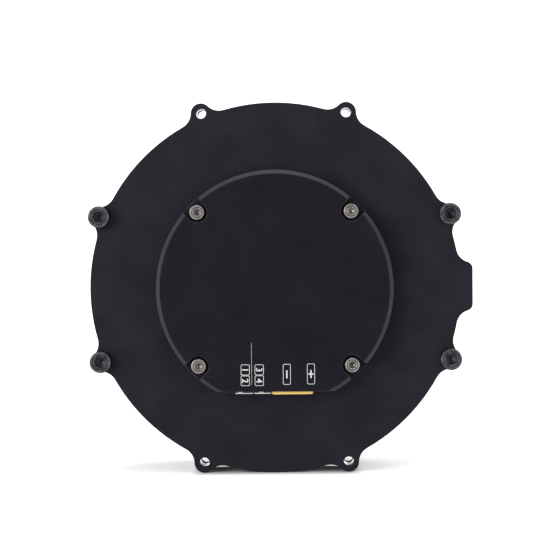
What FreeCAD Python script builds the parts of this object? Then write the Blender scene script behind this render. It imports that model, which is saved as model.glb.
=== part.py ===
import FreeCAD, Part
import math
import os

import Sketcher
from FreeCAD import Placement, Rotation, Vector

# A geared robot joint actuator: an outrunner motor, a one-stage planetary gear inside its
# stator, the output flange in front, and the drive electronics under a round cap at the rear.
# Heights are measured from the output face towards the rear, along each sub-part's own Z.

os.makedirs("parts", exist_ok=True)
doc = FreeCAD.newDocument("joint_actuator")

SIZES = {
    # stack of the parts along the axis
    "output_stand": 2.5,
    "retainer_thickness": 1.5,
    "output_bearing_width": 6.0,
    "carrier_overrun": 0.5,
    "side_gap": 0.4,
    "gear_width": 8.0,
    "plate_thickness": 2.2,
    "rotor_gap": 0.4,
    "disc_thickness": 1.3,
    "collar_height": 0.3,
    "rotor_bearing_width": 5.0,
    "web_thickness": 1.8,
    "recess_depth": 3.2,
    "rear_length": 12.6,
    # round housing
    "housing_radius": 48.0,
    "housing_wall": 2.7,
    "front_wall": 4.0,
    "front_boss_wall": 5.0,
    "front_boss_length": 6.0,
    "tube_wall": 2.5,
    "tube_end_gap": 1.2,
    "spigot_step": 1.4,
    "spigot_length": 1.2,
    "spigot_clearance": 0.05,
    "flange_thickness": 2.5,
    "recess_wall": 2.0,
    "web_lip": 1.8,
    "seat_wall": 2.5,
    "seat_relief": 0.3,
    # lugs round the rear housing and the screws through them
    "lug_count": 8,
    "first_lug": 22.5,
    "lug_offset": 1.1,
    "lug_radius": 2.61,
    "lug_fillet": 4.2,
    "lug_bore": 1.35,
    "ear_floor": 0.6,
    "relief_radius": 1.9,
    "screw_radius": 1.5,
    "screw_length": 20.0,
    "screw_head_radius": 2.8,
    "screw_head_height": 3.0,
    "screw_clearance": 0.1,
    "screw_end_gap": 0.3,
    "thread_clearance": 0.02,
    "screw_hex": 2.5,
    # wire channel in the tab at the side
    "tab_rise": 3.2,
    "tab_side": 0.6,
    "tab_corner": 1.8,
    "tab_fillet": 4.0,
    "tab_wall": 1.8,
    "tab_front_gap": 2.5,
    "channel_half": 4.0,
    "slot_width": 4.0,
    "slot_inset": 0.5,
    "lead_radius": 0.7,
    "lead_spacing": 2.4,
    "lead_bend": 2.0,
    "lead_gap": 0.4,
    # bolt circles a user fastens to
    "front_bolt_count": 8,
    "front_bolt_inset": 8.0,
    "front_bolt_bore": 1.25,
    "front_bolt_depth": 3.2,
    "output_bolt_count": 6,
    "output_bolt_inset": 9.0,
    "dowel_inset": 14.0,
    "output_bolt_bore": 1.65,
    "output_bolt_depth": 6.0,
    "dowel_radius": 1.5,
    "dowel_depth": 4.0,
    "pilot_radius": 5.0,
    "pilot_depth": 2.0,
    # output carrier and its bearing
    "output_flange_gap": 0.3,
    "output_flange_clearance": 0.4,
    "carrier_shoulder": 1.6,
    "output_bearing_section": 5.0,
    "bearing_shoulder": 1.0,
    "race_thickness": 2.0,
    "ball_radius": 0.9,
    "ball_clearance": 0.02,
    "retainer_lap": 1.1,
    "retainer_land": 8.0,
    "retainer_clearance": 0.05,
    "retainer_screw_count": 6,
    "retainer_screw_offset": 3.0,
    "small_screw_radius": 1.0,
    "retainer_screw_length": 5.0,
    "retainer_head_radius": 1.9,
    "retainer_head_height": 1.0,
    "retainer_hex": 1.3,
    "post_radius": 3.0,
    "post_inset": 0.2,
    "plate_inset": 0.5,
    "plate_bore": 4.6,
    "plate_screw_radius": 1.25,
    "plate_screw_length": 8.0,
    "plate_head_radius": 2.1,
    "plate_head_height": 1.2,
    "plate_head_clearance": 0.1,
    # planetary gear
    "gear_module": 0.5,
    "ring_rim": 2.425,
    "pressure_angle": 25.0,
    "addendum": 0.9,
    "dedendum": 1.15,
    "backlash": 0.04,
    "sun_teeth": 12,
    "planet_teeth": 36,
    "planet_count": 3,
    "ring_overlap": 0.2,
    "pin_radius": 2.0,
    "pin_seat_depth": 4.0,
    "bush_radius": 3.0,
    "running_clearance": 0.05,
    # sun shaft and encoder rod
    "shaft_radius": 4.0,
    "shaft_bore": 1.4,
    "shaft_overhang": 0.5,
    "journal_radius": 2.5,
    "journal_lead": 0.2,
    "sun_bearing_section": 1.5,
    "sun_bearing_width": 2.5,
    "sun_race": 0.5,
    "rod_radius": 1.0,
    "rod_seat": 3.0,
    "output_magnet_radius": 2.2,
    "output_magnet_height": 0.8,
    "motor_magnet_radius": 5.0,
    "motor_magnet_height": 1.0,
    "encoder_gap": 0.3,
    "encoder_chip_side": 3.0,
    "encoder_chip_height": 0.7,
    "motor_chip_offset": 4.4,
    # motor
    "rotor_bearing_radius": 8.0,
    "rotor_race": 1.2,
    "rotor_clearance": 0.5,
    "flux_ring_wall": 1.8,
    "magnet_height": 2.0,
    "magnet_spacing": 0.73,
    "magnet_length": 10.0,
    "magnet_lip": 1.0,
    "magnet_count": 42,
    "window_circle": 25.0,
    "window_radius": 9.0,
    "window_count": 6,
    "air_gap": 0.5,
    "stack_length": 8.0,
    "yoke_thickness": 3.0,
    "tooth_count": 36,
    "tooth_width": 2.2,
    "tooth_tip_height": 1.2,
    "slot_opening": 1.87,
    "coil_thickness": 1.1,
    "coil_overhang": 1.9,
    "coil_root_gap": 0.7,
    "coil_tip_gap": 0.4,
    "coil_liner": 0.1,
    "winding_gap": 0.7,
    # rear cap over the electronics
    "cap_radius": 30.5,
    "cap_wall": 1.2,
    "cap_chamfer": 1.0,
    "cap_flat_inset": 4.1,
    "cap_lip": 1.5,
    "cap_screw_inset": 2.6,
    "cap_pocket_radius": 2.65,
    "cap_notch_corner": 0.9,
    "cap_pillar_inset": 0.5,
    "cap_screw_head_radius": 1.95,
    "cap_screw_head_height": 2.0,
    "cap_screw_length": 8.0,
    "cap_screw_hex": 1.5,
    "board_clearance": 0.3,
    "board_thickness": 1.5,
    "board_post_radius": 2.6,
    "window_clearance": 0.2,
    # connectors at the flat of the cap
    "power_spacing": 0.19,
    "power_width": 10.6,
    "power_height": 5.2,
    "power_depth": 11.3,
    "power_proud": 0.9,
    "power_shell": 0.8,
    "power_socket_depth": 7.0,
    "power_pin_radius": 1.0,
    "power_pin_pitch": 5.0,
    "signal_width": 4.5,
    "signal_height": 4.2,
    "signal_depth": 7.8,
    "signal_proud": 0.65,
    "signal_shell": 0.6,
    "signal_socket_depth": 5.5,
    "signal_pin_side": 0.5,
    "signal_pin_pitch": 1.25,
    "inner_signal": -3.4,
    "signal_spacing": 0.3,
    "pin_end_gap": 0.8,
    # components on the board
    "transistor_length": 6.0,
    "transistor_width": 5.0,
    "transistor_height": 1.0,
    "transistor_row": 6.5,
    "transistor_pitch": 7.0,
    "transistor_line": 14.0,
    "capacitor_radius": 2.0,
    "capacitor_room": 0.4,
    "capacitor_circle": 20.0,
    "chip_side": 7.0,
    "chip_height": 0.9,
}

sheet = doc.addObject("Spreadsheet::Sheet", "Sizes")
for row, (name, number) in enumerate(SIZES.items(), start=1):
    sheet.set(f"A{row}", name)
    sheet.set(f"B{row}", str(number))
    sheet.setAlias(f"B{row}", name)
doc.recompute()


class Size:
    """A number together with the sheet expression that gives it."""

    def __init__(self, value, text):
        self.value = value
        self.text = text

    def __float__(self):
        return float(self.value)

    def __add__(self, other):
        other = as_size(other)
        return Size(self.value + other.value, f"({self.text} + {other.text})")

    def __sub__(self, other):
        other = as_size(other)
        return Size(self.value - other.value, f"({self.text} - {other.text})")

    def __mul__(self, other):
        other = as_size(other)
        return Size(self.value * other.value, f"({self.text} * {other.text})")

    def __truediv__(self, other):
        other = as_size(other)
        return Size(self.value / other.value, f"({self.text} / {other.text})")

    def __neg__(self):
        return Size(-self.value, f"(-1 * {self.text})")

    def __rsub__(self, other):
        return as_size(other) - self


def as_size(number):
    """Wrap a plain number, so that it can stand in an expression."""
    return number if isinstance(number, Size) else Size(number, repr(number))


def sheet_size(name):
    """Read one driving dimension from the sheet."""
    return Size(float(sheet.get(name)), f"Sizes.{name}")


def degrees(number):
    """Give a plain number, or a size without a unit, the unit of an angle."""
    number = as_size(number)
    return Size(number.value, f"({number.text} * 1 deg)")


def cosine(angle):
    return Size(math.cos(math.radians(angle.value)), f"cos({angle.text})")


def sine(angle):
    return Size(math.sin(math.radians(angle.value)), f"sin({angle.text})")


def polar(radius, angle):
    """Point at a radius and an angle from the axis."""
    return cosine(angle) * radius, sine(angle) * radius


size = {name: sheet_size(name) for name in SIZES}
number = {name: float(value) for name, value in size.items()}

# Stations along the axis, from the output face
output_flange_thickness = size["output_stand"] - size["output_flange_gap"]
bearing_station = size["output_stand"] + size["retainer_thickness"]
carrier_end = bearing_station + size["output_bearing_width"] + size["carrier_overrun"]
planet_station = carrier_end + size["side_gap"]
plate_station = planet_station + size["gear_width"] + size["side_gap"]
disc_station = plate_station + size["plate_thickness"] + size["rotor_gap"]
disc_end = disc_station + size["disc_thickness"]
rotor_bearing_station = disc_end + size["collar_height"]
web_station = rotor_bearing_station + size["rotor_bearing_width"]
recess_floor = web_station + size["web_thickness"]
rear_station = recess_floor + size["recess_depth"]
joint_station = rear_station - size["rear_length"]
board_station = rear_station - size["board_thickness"]
stack_end = disc_station - size["winding_gap"] - size["coil_overhang"]
stack_station = stack_end - size["stack_length"]
magnet_station = stack_station - (size["magnet_length"] - size["stack_length"]) / 2
flux_ring_station = magnet_station - size["magnet_lip"]

# Radii of the gear and what is built round it, from the inside out
ring_teeth = size["sun_teeth"] + size["planet_teeth"] * 2
ring_root = size["gear_module"] * (ring_teeth / 2 + size["dedendum"])
planet_circle = size["gear_module"] * (size["sun_teeth"] + size["planet_teeth"]) / 2
tube_bore = ring_root + size["ring_rim"]
tube_radius = tube_bore + size["tube_wall"]
bearing_radius = tube_bore + size["bearing_shoulder"]
bearing_bore = bearing_radius - size["output_bearing_section"]
retainer_bore = bearing_radius - size["retainer_lap"]
retainer_radius = bearing_radius + size["retainer_land"]
retainer_screw_circle = bearing_radius + size["retainer_screw_offset"]
output_flange_radius = retainer_bore - size["output_flange_clearance"]
output_bolt_circle = output_flange_radius - size["output_bolt_inset"]
dowel_circle = output_flange_radius - size["dowel_inset"]
plate_radius = bearing_bore - size["plate_inset"]
post_circle = plate_radius - size["post_radius"] - size["post_inset"]

# Radii of the housing and the motor, from the outside in
lug_pitch = size["housing_radius"] + size["lug_offset"]
tab_reach = size["housing_radius"] + size["tab_rise"]
tab_channel_end = tab_reach - size["tab_wall"]
spigot_radius = size["housing_radius"] - size["spigot_step"]
front_bolt_circle = size["housing_radius"] - size["front_bolt_inset"]
cavity_radius = size["housing_radius"] - size["housing_wall"]
flux_ring_radius = cavity_radius - size["rotor_clearance"]
magnet_radius = flux_ring_radius - size["flux_ring_wall"]
magnet_face = magnet_radius - size["magnet_height"]
magnet_width = magnet_face * (2 * math.pi) / size["magnet_count"] - size["magnet_spacing"]
stator_radius = magnet_face - size["air_gap"]
tooth_tip_width = stator_radius * (2 * math.pi) / size["tooth_count"] - size["slot_opening"]

# The cap is as high as its tallest socket needs, and the recess under it lies inside its rim
cap_room = size["power_height"] + size["window_clearance"]
cap_height = cap_room + size["cap_wall"]
cap_screw_circle = size["cap_radius"] - size["cap_screw_inset"]
cap_flat = size["cap_radius"] - size["cap_flat_inset"]
recess_radius = size["cap_radius"] - size["cap_lip"]
recess_flat = cap_flat - size["cap_lip"]
board_radius = recess_radius - size["board_clearance"]
board_flat = recess_flat - size["board_clearance"]
slot_far = recess_radius - size["slot_inset"]
slot_near = slot_far - size["slot_width"]
outer_signal = size["inner_signal"] - size["signal_width"] - size["signal_spacing"]
power_left = size["inner_signal"] + size["signal_width"] / 2 + size["power_spacing"]

STANDING = Rotation(Vector(1, 0, 0), 90)


def stand(item, station):
    """Turn a sub-part's own Z from the output face to the rear, and set it at its station."""
    item.Placement = Placement(Vector(0, -float(station), 0), STANDING)
    item.setExpression("Placement.Base.y", (-as_size(station)).text)
    return item


def new_body(label, station):
    body = doc.addObject("PartDesign::Body", label)
    body.Label = label
    body.AllowCompound = True
    return stand(body, station)


def plane(body, role):
    return [item for item in body.Origin.OriginFeatures if item.Role == role][0]


def new_sketch(body, role="XY_Plane", height=0.0):
    """Sketch on one of the body's planes, lifted by a height."""
    sketch = body.newObject("Sketcher::SketchObject", "Sketch")
    sketch.AttachmentSupport = [(plane(body, role), "")]
    sketch.MapMode = "FlatFace"
    height = as_size(height)
    sketch.AttachmentOffset = Placement(Vector(0, 0, height.value), Rotation())
    sketch.setExpression("AttachmentOffset.Base.z", height.text)
    return sketch


def bind(sketch, index, value):
    """Tie a constraint to the sheet, where its value comes from there."""
    if isinstance(value, Size):
        sketch.setExpression(f"Constraints[{index}]", value.text)


def bind_point(sketch, edge, end, point):
    for kind, value in zip(("DistanceX", "DistanceY"), point):
        index = sketch.addConstraint(Sketcher.Constraint(kind, edge, end, float(value)))
        bind(sketch, index, value)


def arc_between(start, end, radius):
    """Arc that runs counterclockwise from start to end, less than half a turn."""
    chord = end - start
    half = chord.Length / 2
    left = Vector(-chord.y, chord.x, 0) / chord.Length
    rise = radius - math.sqrt(max(radius * radius - half * half, 0.0))
    return Part.Arc(start, (start + end) / 2 - left * rise, end)


def outline(sketch, path):
    """Closed outline through the points of a path.

    A point is (x, y), reached by a straight line, or (x, y, bend), reached by an arc of
    that radius: counterclockwise where the bend is positive, clockwise where it is negative.
    """
    ends = []
    for place, point in enumerate(path):
        before = path[place - 1]
        start = Vector(float(before[0]), float(before[1]), 0)
        end = Vector(float(point[0]), float(point[1]), 0)
        bend = point[2] if len(point) == 3 else None
        if bend is None:
            edge = sketch.addGeometry(Part.LineSegment(start, end), False)
            ends.append((edge, 1, 2))
            continue
        if float(bend) > 0:
            edge = sketch.addGeometry(arc_between(start, end, float(bend)), False)
            ends.append((edge, 1, 2))
        else:
            bend = -bend
            edge = sketch.addGeometry(arc_between(end, start, float(bend)), False)
            ends.append((edge, 2, 1))
        index = sketch.addConstraint(Sketcher.Constraint("Radius", edge, float(bend)))
        bind(sketch, index, bend)
    for place, (edge, first, last) in enumerate(ends):
        following, next_first, next_last = ends[(place + 1) % len(ends)]
        sketch.addConstraint(Sketcher.Constraint("Coincident", edge, last, following, next_first))
    for (edge, first, last), point in zip(ends, path):
        bind_point(sketch, edge, last, point[:2])


def rectangle(sketch, left, right, bottom, top):
    outline(sketch, [(left, bottom), (right, bottom), (right, top), (left, top)])


def circle(sketch, centre, radius):
    x, y = centre
    round_edge = Part.Circle(Vector(float(x), float(y), 0), Vector(0, 0, 1), float(radius))
    edge = sketch.addGeometry(round_edge, False)
    bind_point(sketch, edge, 3, centre)
    index = sketch.addConstraint(Sketcher.Constraint("Radius", edge, float(radius)))
    bind(sketch, index, radius)


def hexagon(sketch, centre, flats):
    """Hexagonal socket, given by the width across its flats."""
    corner = flats / as_size(math.sqrt(3.0))
    points = []
    for turn in range(0, 360, 60):
        dx, dy = polar(corner, degrees(turn))
        points.append((centre[0] + dx, centre[1] + dy))
    outline(sketch, points)


def pad(body, sketch, length):
    feature = body.newObject("PartDesign::Pad", "Pad")
    feature.Profile = sketch
    feature.setExpression("Length", as_size(length).text)
    body.Tip = feature
    return feature


def cut(body, sketch, length):
    """Pocket that starts at its sketch and goes the way a pad would."""
    feature = body.newObject("PartDesign::Pocket", "Pocket")
    feature.Profile = sketch
    feature.Reversed = True
    feature.setExpression("Length", as_size(length).text)
    body.Tip = feature
    return feature


def turned(body, path, kind="PartDesign::Revolution"):
    """Body of revolution, or groove, with a half section of (radius, height) points."""
    sketch = new_sketch(body, "XZ_Plane")
    outline(sketch, path)
    feature = body.newObject(kind, "Turned")
    feature.Profile = sketch
    feature.ReferenceAxis = (sketch, ["V_Axis"])
    feature.Angle = 360.0
    body.Tip = feature
    return feature


def pattern(body, features, count):
    """Repeat features evenly round the body's axis."""
    polar_pattern = body.newObject("PartDesign::PolarPattern", "Pattern")
    polar_pattern.Originals = features
    polar_pattern.Axis = (plane(body, "Z_Axis"), [""])
    polar_pattern.Angle = 360.0
    polar_pattern.setExpression("Occurrences", as_size(count).text)
    body.Tip = polar_pattern
    return polar_pattern


def ring(label, station, inner, outer, length):
    """Plain turned ring."""
    body = new_body(label, station)
    turned(body, [(inner, 0), (outer, 0), (outer, length), (inner, length)])
    return body


def solid_feature(label, station, shape):
    """Sub-part whose shape is worked out from the sheet rather than sketched."""
    feature = doc.addObject("Part::Feature", label)
    feature.Label = label
    feature.Shape = shape
    return stand(feature, station)


# Angles of the lugs: screws hold the housing together at the sides, the others stay open
lug_step = 360 / SIZES["lug_count"]
LUG_ANGLES = [size["first_lug"] + step * lug_step for step in range(SIZES["lug_count"])]
SCREW_LUGS = [turn for turn in LUG_ANGLES if abs(math.cos(math.radians(float(turn)))) > 0.7]
OPEN_LUGS = [turn for turn in LUG_ANGLES if turn not in SCREW_LUGS]


def rim_corner(disc, fillet, centre, corner):
    """Where a concave fillet meets the disc and a convex corner that stands out of it.

    centre is (distance, angle) of the corner's circle. Returns the angle between the corner and
    the fillet's centre, and a function that gives both tangent points on either side.
    """
    distance, angle = centre
    reach = disc + fillet
    span = corner + fillet
    cosine_of_swing = (reach * reach + distance * distance - span * span) / (reach * distance * 2)
    swing = Size(math.degrees(math.acos(cosine_of_swing.value)), f"acos({cosine_of_swing.text})")

    def tangents(middle, side):
        direction = middle + angle * side + swing * side
        corner_x, corner_y = polar(distance, middle + angle * side)
        fillet_x, fillet_y = polar(reach, direction)
        touch = (
            (corner_x * fillet + fillet_x * corner) / span,
            (corner_y * fillet + fillet_y * corner) / span,
        )
        return polar(disc, direction), touch

    return tangents


def rim_path(lugs, with_tab):
    """Outline of the round rim, counterclockwise, with its lugs and the tab at the side."""
    disc = size["housing_radius"]
    lug = rim_corner(disc, size["lug_fillet"], (lug_pitch, degrees(0)), size["lug_radius"])
    tab_x = tab_reach - size["tab_corner"]
    tab_half = size["channel_half"] + size["tab_side"]
    tab_distance = Size(math.hypot(tab_x.value, tab_half.value), f"hypot({tab_x.text}; {tab_half.text})")
    tab_angle = Size(
        math.degrees(math.atan2(tab_half.value, tab_x.value)), f"atan2({tab_half.text}; {tab_x.text})"
    )
    tab = rim_corner(disc, size["tab_fillet"], (tab_distance, tab_angle), size["tab_corner"])
    path = []
    if with_tab:
        on_disc, on_corner = tab(degrees(0), -1)
        path.append((*on_disc, disc))
        path.append((*on_corner, -size["tab_fillet"]))
        path.append((tab_reach, -tab_half, size["tab_corner"]))
        path.append((tab_reach, tab_half))
        on_disc, on_corner = tab(degrees(0), 1)
        path.append((*on_corner, size["tab_corner"]))
        path.append((*on_disc, -size["tab_fillet"]))
    for turn in sorted(lugs, key=float):
        on_disc, on_lug = lug(degrees(turn), -1)
        path.append((*on_disc, disc))
        path.append((*on_lug, -size["lug_fillet"]))
        on_disc, on_lug = lug(degrees(turn), 1)
        path.append((*on_lug, size["lug_radius"]))
        path.append((*on_disc, -size["lug_fillet"]))
    return path


def lug_centre(turn):
    return polar(lug_pitch, degrees(turn))


def housing_screw_hole(sketch, turn):
    circle(sketch, lug_centre(turn), size["screw_radius"] + size["screw_clearance"])


AXIS = (as_size(0.0), as_size(0.0))


def make_front_housing():
    body = new_body("front_housing", size["output_stand"])
    length = joint_station - size["output_stand"]
    tab_start = size["tab_front_gap"]
    screw_depth = size["screw_length"] - size["rear_length"]
    ear_length = screw_depth + size["ear_floor"]
    ear_start = length - ear_length

    disc = new_sketch(body)
    circle(disc, AXIS, size["housing_radius"])
    pad(body, disc, length)
    with_tab = new_sketch(body, height=tab_start)
    outline(with_tab, rim_path([], True))
    pad(body, with_tab, length - tab_start)
    with_ears = new_sketch(body, height=ear_start)
    outline(with_ears, rim_path(SCREW_LUGS, True))
    pad(body, with_ears, ear_length)

    retainer = size["retainer_thickness"]
    seat_end = retainer + size["output_bearing_width"]
    tube_end = disc_station - size["tube_end_gap"] - size["output_stand"]
    socket_radius = spigot_radius + size["spigot_clearance"]
    socket_start = length - size["spigot_length"] - size["screw_clearance"]
    seat_radius = bearing_radius
    boss_radius = bearing_radius + size["front_boss_wall"]
    counterbore = retainer_radius + size["retainer_clearance"]
    turned(body, [
        (0.0, 0.0),
        (counterbore, 0.0),
        (counterbore, retainer),
        (seat_radius, retainer),
        (seat_radius, seat_end),
        (tube_bore, seat_end),
        (tube_bore, tube_end),
        (tube_radius, tube_end),
        (tube_radius, size["front_boss_length"]),
        (boss_radius, size["front_boss_length"]),
        (boss_radius, size["front_wall"]),
        (cavity_radius, size["front_wall"]),
        (cavity_radius, socket_start),
        (socket_radius, socket_start),
        (socket_radius, length),
        (0.0, length),
    ], "PartDesign::Groove")

    channel = new_sketch(body, height=size["front_wall"])
    rectangle(channel, tube_radius + size["front_wall"], tab_channel_end,
              -size["channel_half"], size["channel_half"])
    cut(body, channel, length - size["front_wall"])

    screw_depth = screw_depth + size["screw_end_gap"]
    screws = new_sketch(body, height=length - screw_depth)
    for turn in SCREW_LUGS:
        circle(screws, lug_centre(turn), size["screw_radius"] + size["thread_clearance"])
    cut(body, screws, screw_depth)
    reliefs = new_sketch(body)
    for turn in OPEN_LUGS:
        circle(reliefs, lug_centre(turn), size["relief_radius"])
    cut(body, reliefs, length)

    bolts = new_sketch(body)
    circle(bolts, polar(front_bolt_circle, degrees(180 / SIZES["front_bolt_count"])),
           size["front_bolt_bore"])
    pattern(body, [cut(body, bolts, size["front_bolt_depth"])], size["front_bolt_count"])
    small = new_sketch(body, height=retainer)
    circle(small, polar(retainer_screw_circle, degrees(0)),
           size["small_screw_radius"] + size["thread_clearance"])
    depth = size["retainer_screw_length"] - retainer + size["screw_end_gap"]
    pattern(body, [cut(body, small, depth)], size["retainer_screw_count"])
    return body


def make_rear_housing():
    body = new_body("rear_housing", joint_station)
    length = size["rear_length"]
    full = new_sketch(body)
    outline(full, rim_path(LUG_ANGLES, True))
    pad(body, full, length)
    spigot = new_sketch(body, height=-size["spigot_length"])
    circle(spigot, AXIS, spigot_radius)
    pad(body, spigot, size["spigot_length"])

    web = web_station - joint_station
    floor = recess_floor - joint_station
    seat_start = rotor_bearing_station + size["seat_relief"] - joint_station
    seat = size["rotor_bearing_radius"]
    web_bore = seat - size["web_lip"]
    wall = recess_radius + size["recess_wall"]
    rim_floor = length - size["flange_thickness"]
    start = -size["spigot_length"]
    turned(body, [
        (0.0, start),
        (cavity_radius, start),
        (cavity_radius, rim_floor),
        (wall, rim_floor),
        (wall, web),
        (seat + size["seat_wall"], web),
        (seat + size["seat_wall"], seat_start),
        (seat, seat_start),
        (seat, web),
        (web_bore, web),
        (web_bore, floor),
        (recess_radius, floor),
        (recess_radius, length),
        (0.0, length),
    ], "PartDesign::Groove")

    # the recess ends short of the cap's flat, so that the plate is whole outside the cap
    outside = recess_radius + size["recess_wall"]
    half = chord_half(outside, recess_flat)
    closed = new_sketch(body, height=web)
    outline(closed, [(-half, -recess_flat), (0.0, -outside, outside), (half, -recess_flat, outside)])
    pad(body, closed, length - web)

    posts = new_sketch(body, height=floor)
    for turn in CAP_SCREW_ANGLES:
        circle(posts, cap_screw_centre(turn), size["board_post_radius"])
    pad(body, posts, board_station - recess_floor)
    channel = new_sketch(body, height=-size["spigot_length"])
    rectangle(channel, wall + size["seat_wall"], tab_channel_end, -size["channel_half"], size["channel_half"])
    cut(body, channel, rim_floor + size["spigot_length"])
    slot = new_sketch(body, height=web)
    rectangle(slot, slot_near, slot_far, -size["channel_half"], size["channel_half"])
    cut(body, slot, size["web_thickness"])
    taps = new_sketch(body, height=web)
    for turn in CAP_SCREW_ANGLES:
        circle(taps, cap_screw_centre(turn), size["small_screw_radius"] + size["thread_clearance"])
    cut(body, taps, board_station - web_station)

    holes = new_sketch(body)
    for turn in SCREW_LUGS:
        housing_screw_hole(holes, turn)
    for turn in OPEN_LUGS:
        circle(holes, lug_centre(turn), size["lug_bore"])
    cut(body, holes, length)
    return body


CAP_SCREW_ANGLES = [45, 135, 225, 315]


def cap_screw_centre(turn):
    return polar(cap_screw_circle, degrees(turn))


def chord_half(radius, distance):
    """Half the length of a circle's chord at a distance from its centre."""
    value = math.sqrt(radius.value ** 2 - distance.value ** 2)
    return Size(value, f"sqrt({radius.text} ^ 2 - {distance.text} ^ 2)")


def make_controller_cap():
    body = new_body("controller_cap", rear_station)
    height = cap_height
    wall = size["cap_wall"]
    radius = size["cap_radius"]
    flat = cap_flat
    edge = height - size["cap_chamfer"]
    turned(body, [
        (0.0, 0.0),
        (radius, 0.0),
        (radius, edge),
        (radius - size["cap_chamfer"], height),
        (0.0, height),
    ])
    chord = new_sketch(body)
    rectangle(chord, -radius, radius, -radius - wall, -flat)
    cut(body, chord, height)

    inner = radius - wall
    inner_flat = flat - wall
    half = chord_half(inner, inner_flat)
    hollow = new_sketch(body)
    outline(hollow, [(half, -inner_flat), (inner, 0.0, inner), (0.0, inner, inner), (-inner, 0.0, inner),
                     (-half, -inner_flat, inner)])
    cut(body, hollow, height - wall)

    across = size["cap_pocket_radius"] + wall
    reach = radius - size["cap_pillar_inset"]
    nose = cap_screw_circle - across
    for turn in CAP_SCREW_ANGLES:
        pillar = new_sketch(body)
        corners = [
            (reach, -across, None),
            (reach, across, None),
            (cap_screw_circle, across, None),
            (nose, 0.0, across),
            (cap_screw_circle, -across, across),
        ]
        outline(pillar, turned_path(corners, turn))
        pad(body, pillar, height - wall)
    # each screw head lies in a notch that is open at the rim, with round corners there
    pocket = size["cap_pocket_radius"]
    corner = size["cap_notch_corner"]
    pockets = new_sketch(body, height=height - size["cap_screw_head_height"])
    for turn in CAP_SCREW_ANGLES:
        corners = [
            (radius + wall, -pocket - corner, None),
            (radius + wall, pocket + corner, None),
            (radius, pocket + corner, None),
            (radius - corner, pocket, -corner),
            (cap_screw_circle, pocket, None),
            (cap_screw_circle - pocket, 0.0, pocket),
            (cap_screw_circle, -pocket, pocket),
            (radius - corner, -pocket, None),
            (radius, -pocket - corner, -corner),
        ]
        outline(pockets, turned_path(corners, turn))
    cut(body, pockets, size["cap_screw_head_height"])
    holes = new_sketch(body)
    for turn in CAP_SCREW_ANGLES:
        circle(holes, cap_screw_centre(turn), size["small_screw_radius"] + size["screw_clearance"])
    cut(body, holes, height)

    window = new_sketch(body)
    clearance = size["window_clearance"]
    rectangle(window, outer_signal - size["signal_width"] / 2 - clearance,
              power_left + size["power_width"] + clearance, -flat, -inner_flat)
    cut(body, window, cap_room)
    return body


def turned_path(path, turn):
    """The same path, turned round the axis by an angle."""
    result = []
    for x, y, bend in path:
        x = as_size(x)
        y = as_size(y)
        angle = degrees(turn)
        point = (x * cosine(angle) - y * sine(angle), x * sine(angle) + y * cosine(angle))
        result.append(point if bend is None else (*point, bend))
    return result


def make_driver_board():
    body = new_body("driver_board", board_station)
    disc = new_sketch(body)
    half = chord_half(board_radius, board_flat)
    outline(disc, [(half, -board_flat), (board_radius, 0.0, board_radius), (0.0, board_radius, board_radius),
                   (-board_radius, 0.0, board_radius), (-half, -board_flat, board_radius)])
    pad(body, disc, size["board_thickness"])
    holes = new_sketch(body)
    for turn in CAP_SCREW_ANGLES:
        circle(holes, cap_screw_centre(turn), size["small_screw_radius"] + size["screw_clearance"])
    cut(body, holes, size["board_thickness"])
    return body


def socket_screws(label, station, centres, shank, head, hexagon_flats):
    """Socket-head cap screws: heads to the rear of the station, shanks in front of it."""
    shank_radius, shank_length = shank
    head_radius, head_height = head
    body = new_body(label, station - shank_length)
    shanks = new_sketch(body)
    for centre in centres:
        circle(shanks, centre, shank_radius)
    pad(body, shanks, shank_length)
    heads = new_sketch(body, height=shank_length)
    for centre in centres:
        circle(heads, centre, head_radius)
    pad(body, heads, head_height)
    sockets = new_sketch(body, height=shank_length + head_height / 2)
    for centre in centres:
        hexagon(sockets, centre, hexagon_flats)
    cut(body, sockets, head_height / 2)
    return body


def make_screws():
    socket_screws("housing_screws", rear_station, [lug_centre(turn) for turn in SCREW_LUGS],
                  (size["screw_radius"], size["screw_length"]),
                  (size["screw_head_radius"], size["screw_head_height"]), size["screw_hex"])
    cap_seat = rear_station + cap_height - size["cap_screw_head_height"]
    socket_screws("cap_screws", cap_seat, [cap_screw_centre(turn) for turn in CAP_SCREW_ANGLES],
                  (size["small_screw_radius"], size["cap_screw_length"]),
                  (size["cap_screw_head_radius"], size["cap_screw_head_height"]), size["cap_screw_hex"])


def connector(label, centres, sizes):
    """Open-fronted plug housings on the board, facing down past the flat of the cap."""
    width, height, depth, proud, shell, socket = sizes
    body = new_body(label, rear_station)
    mouth = -cap_flat - proud
    blocks = new_sketch(body)
    for centre in centres:
        rectangle(blocks, centre - width / 2, centre + width / 2, mouth, mouth + depth)
    pad(body, blocks, height)
    sockets = new_sketch(body, height=shell)
    for centre in centres:
        rectangle(sockets, centre - width / 2 + shell, centre + width / 2 - shell, mouth, mouth + socket)
    cut(body, sockets, height - shell * 2)
    return body


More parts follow.
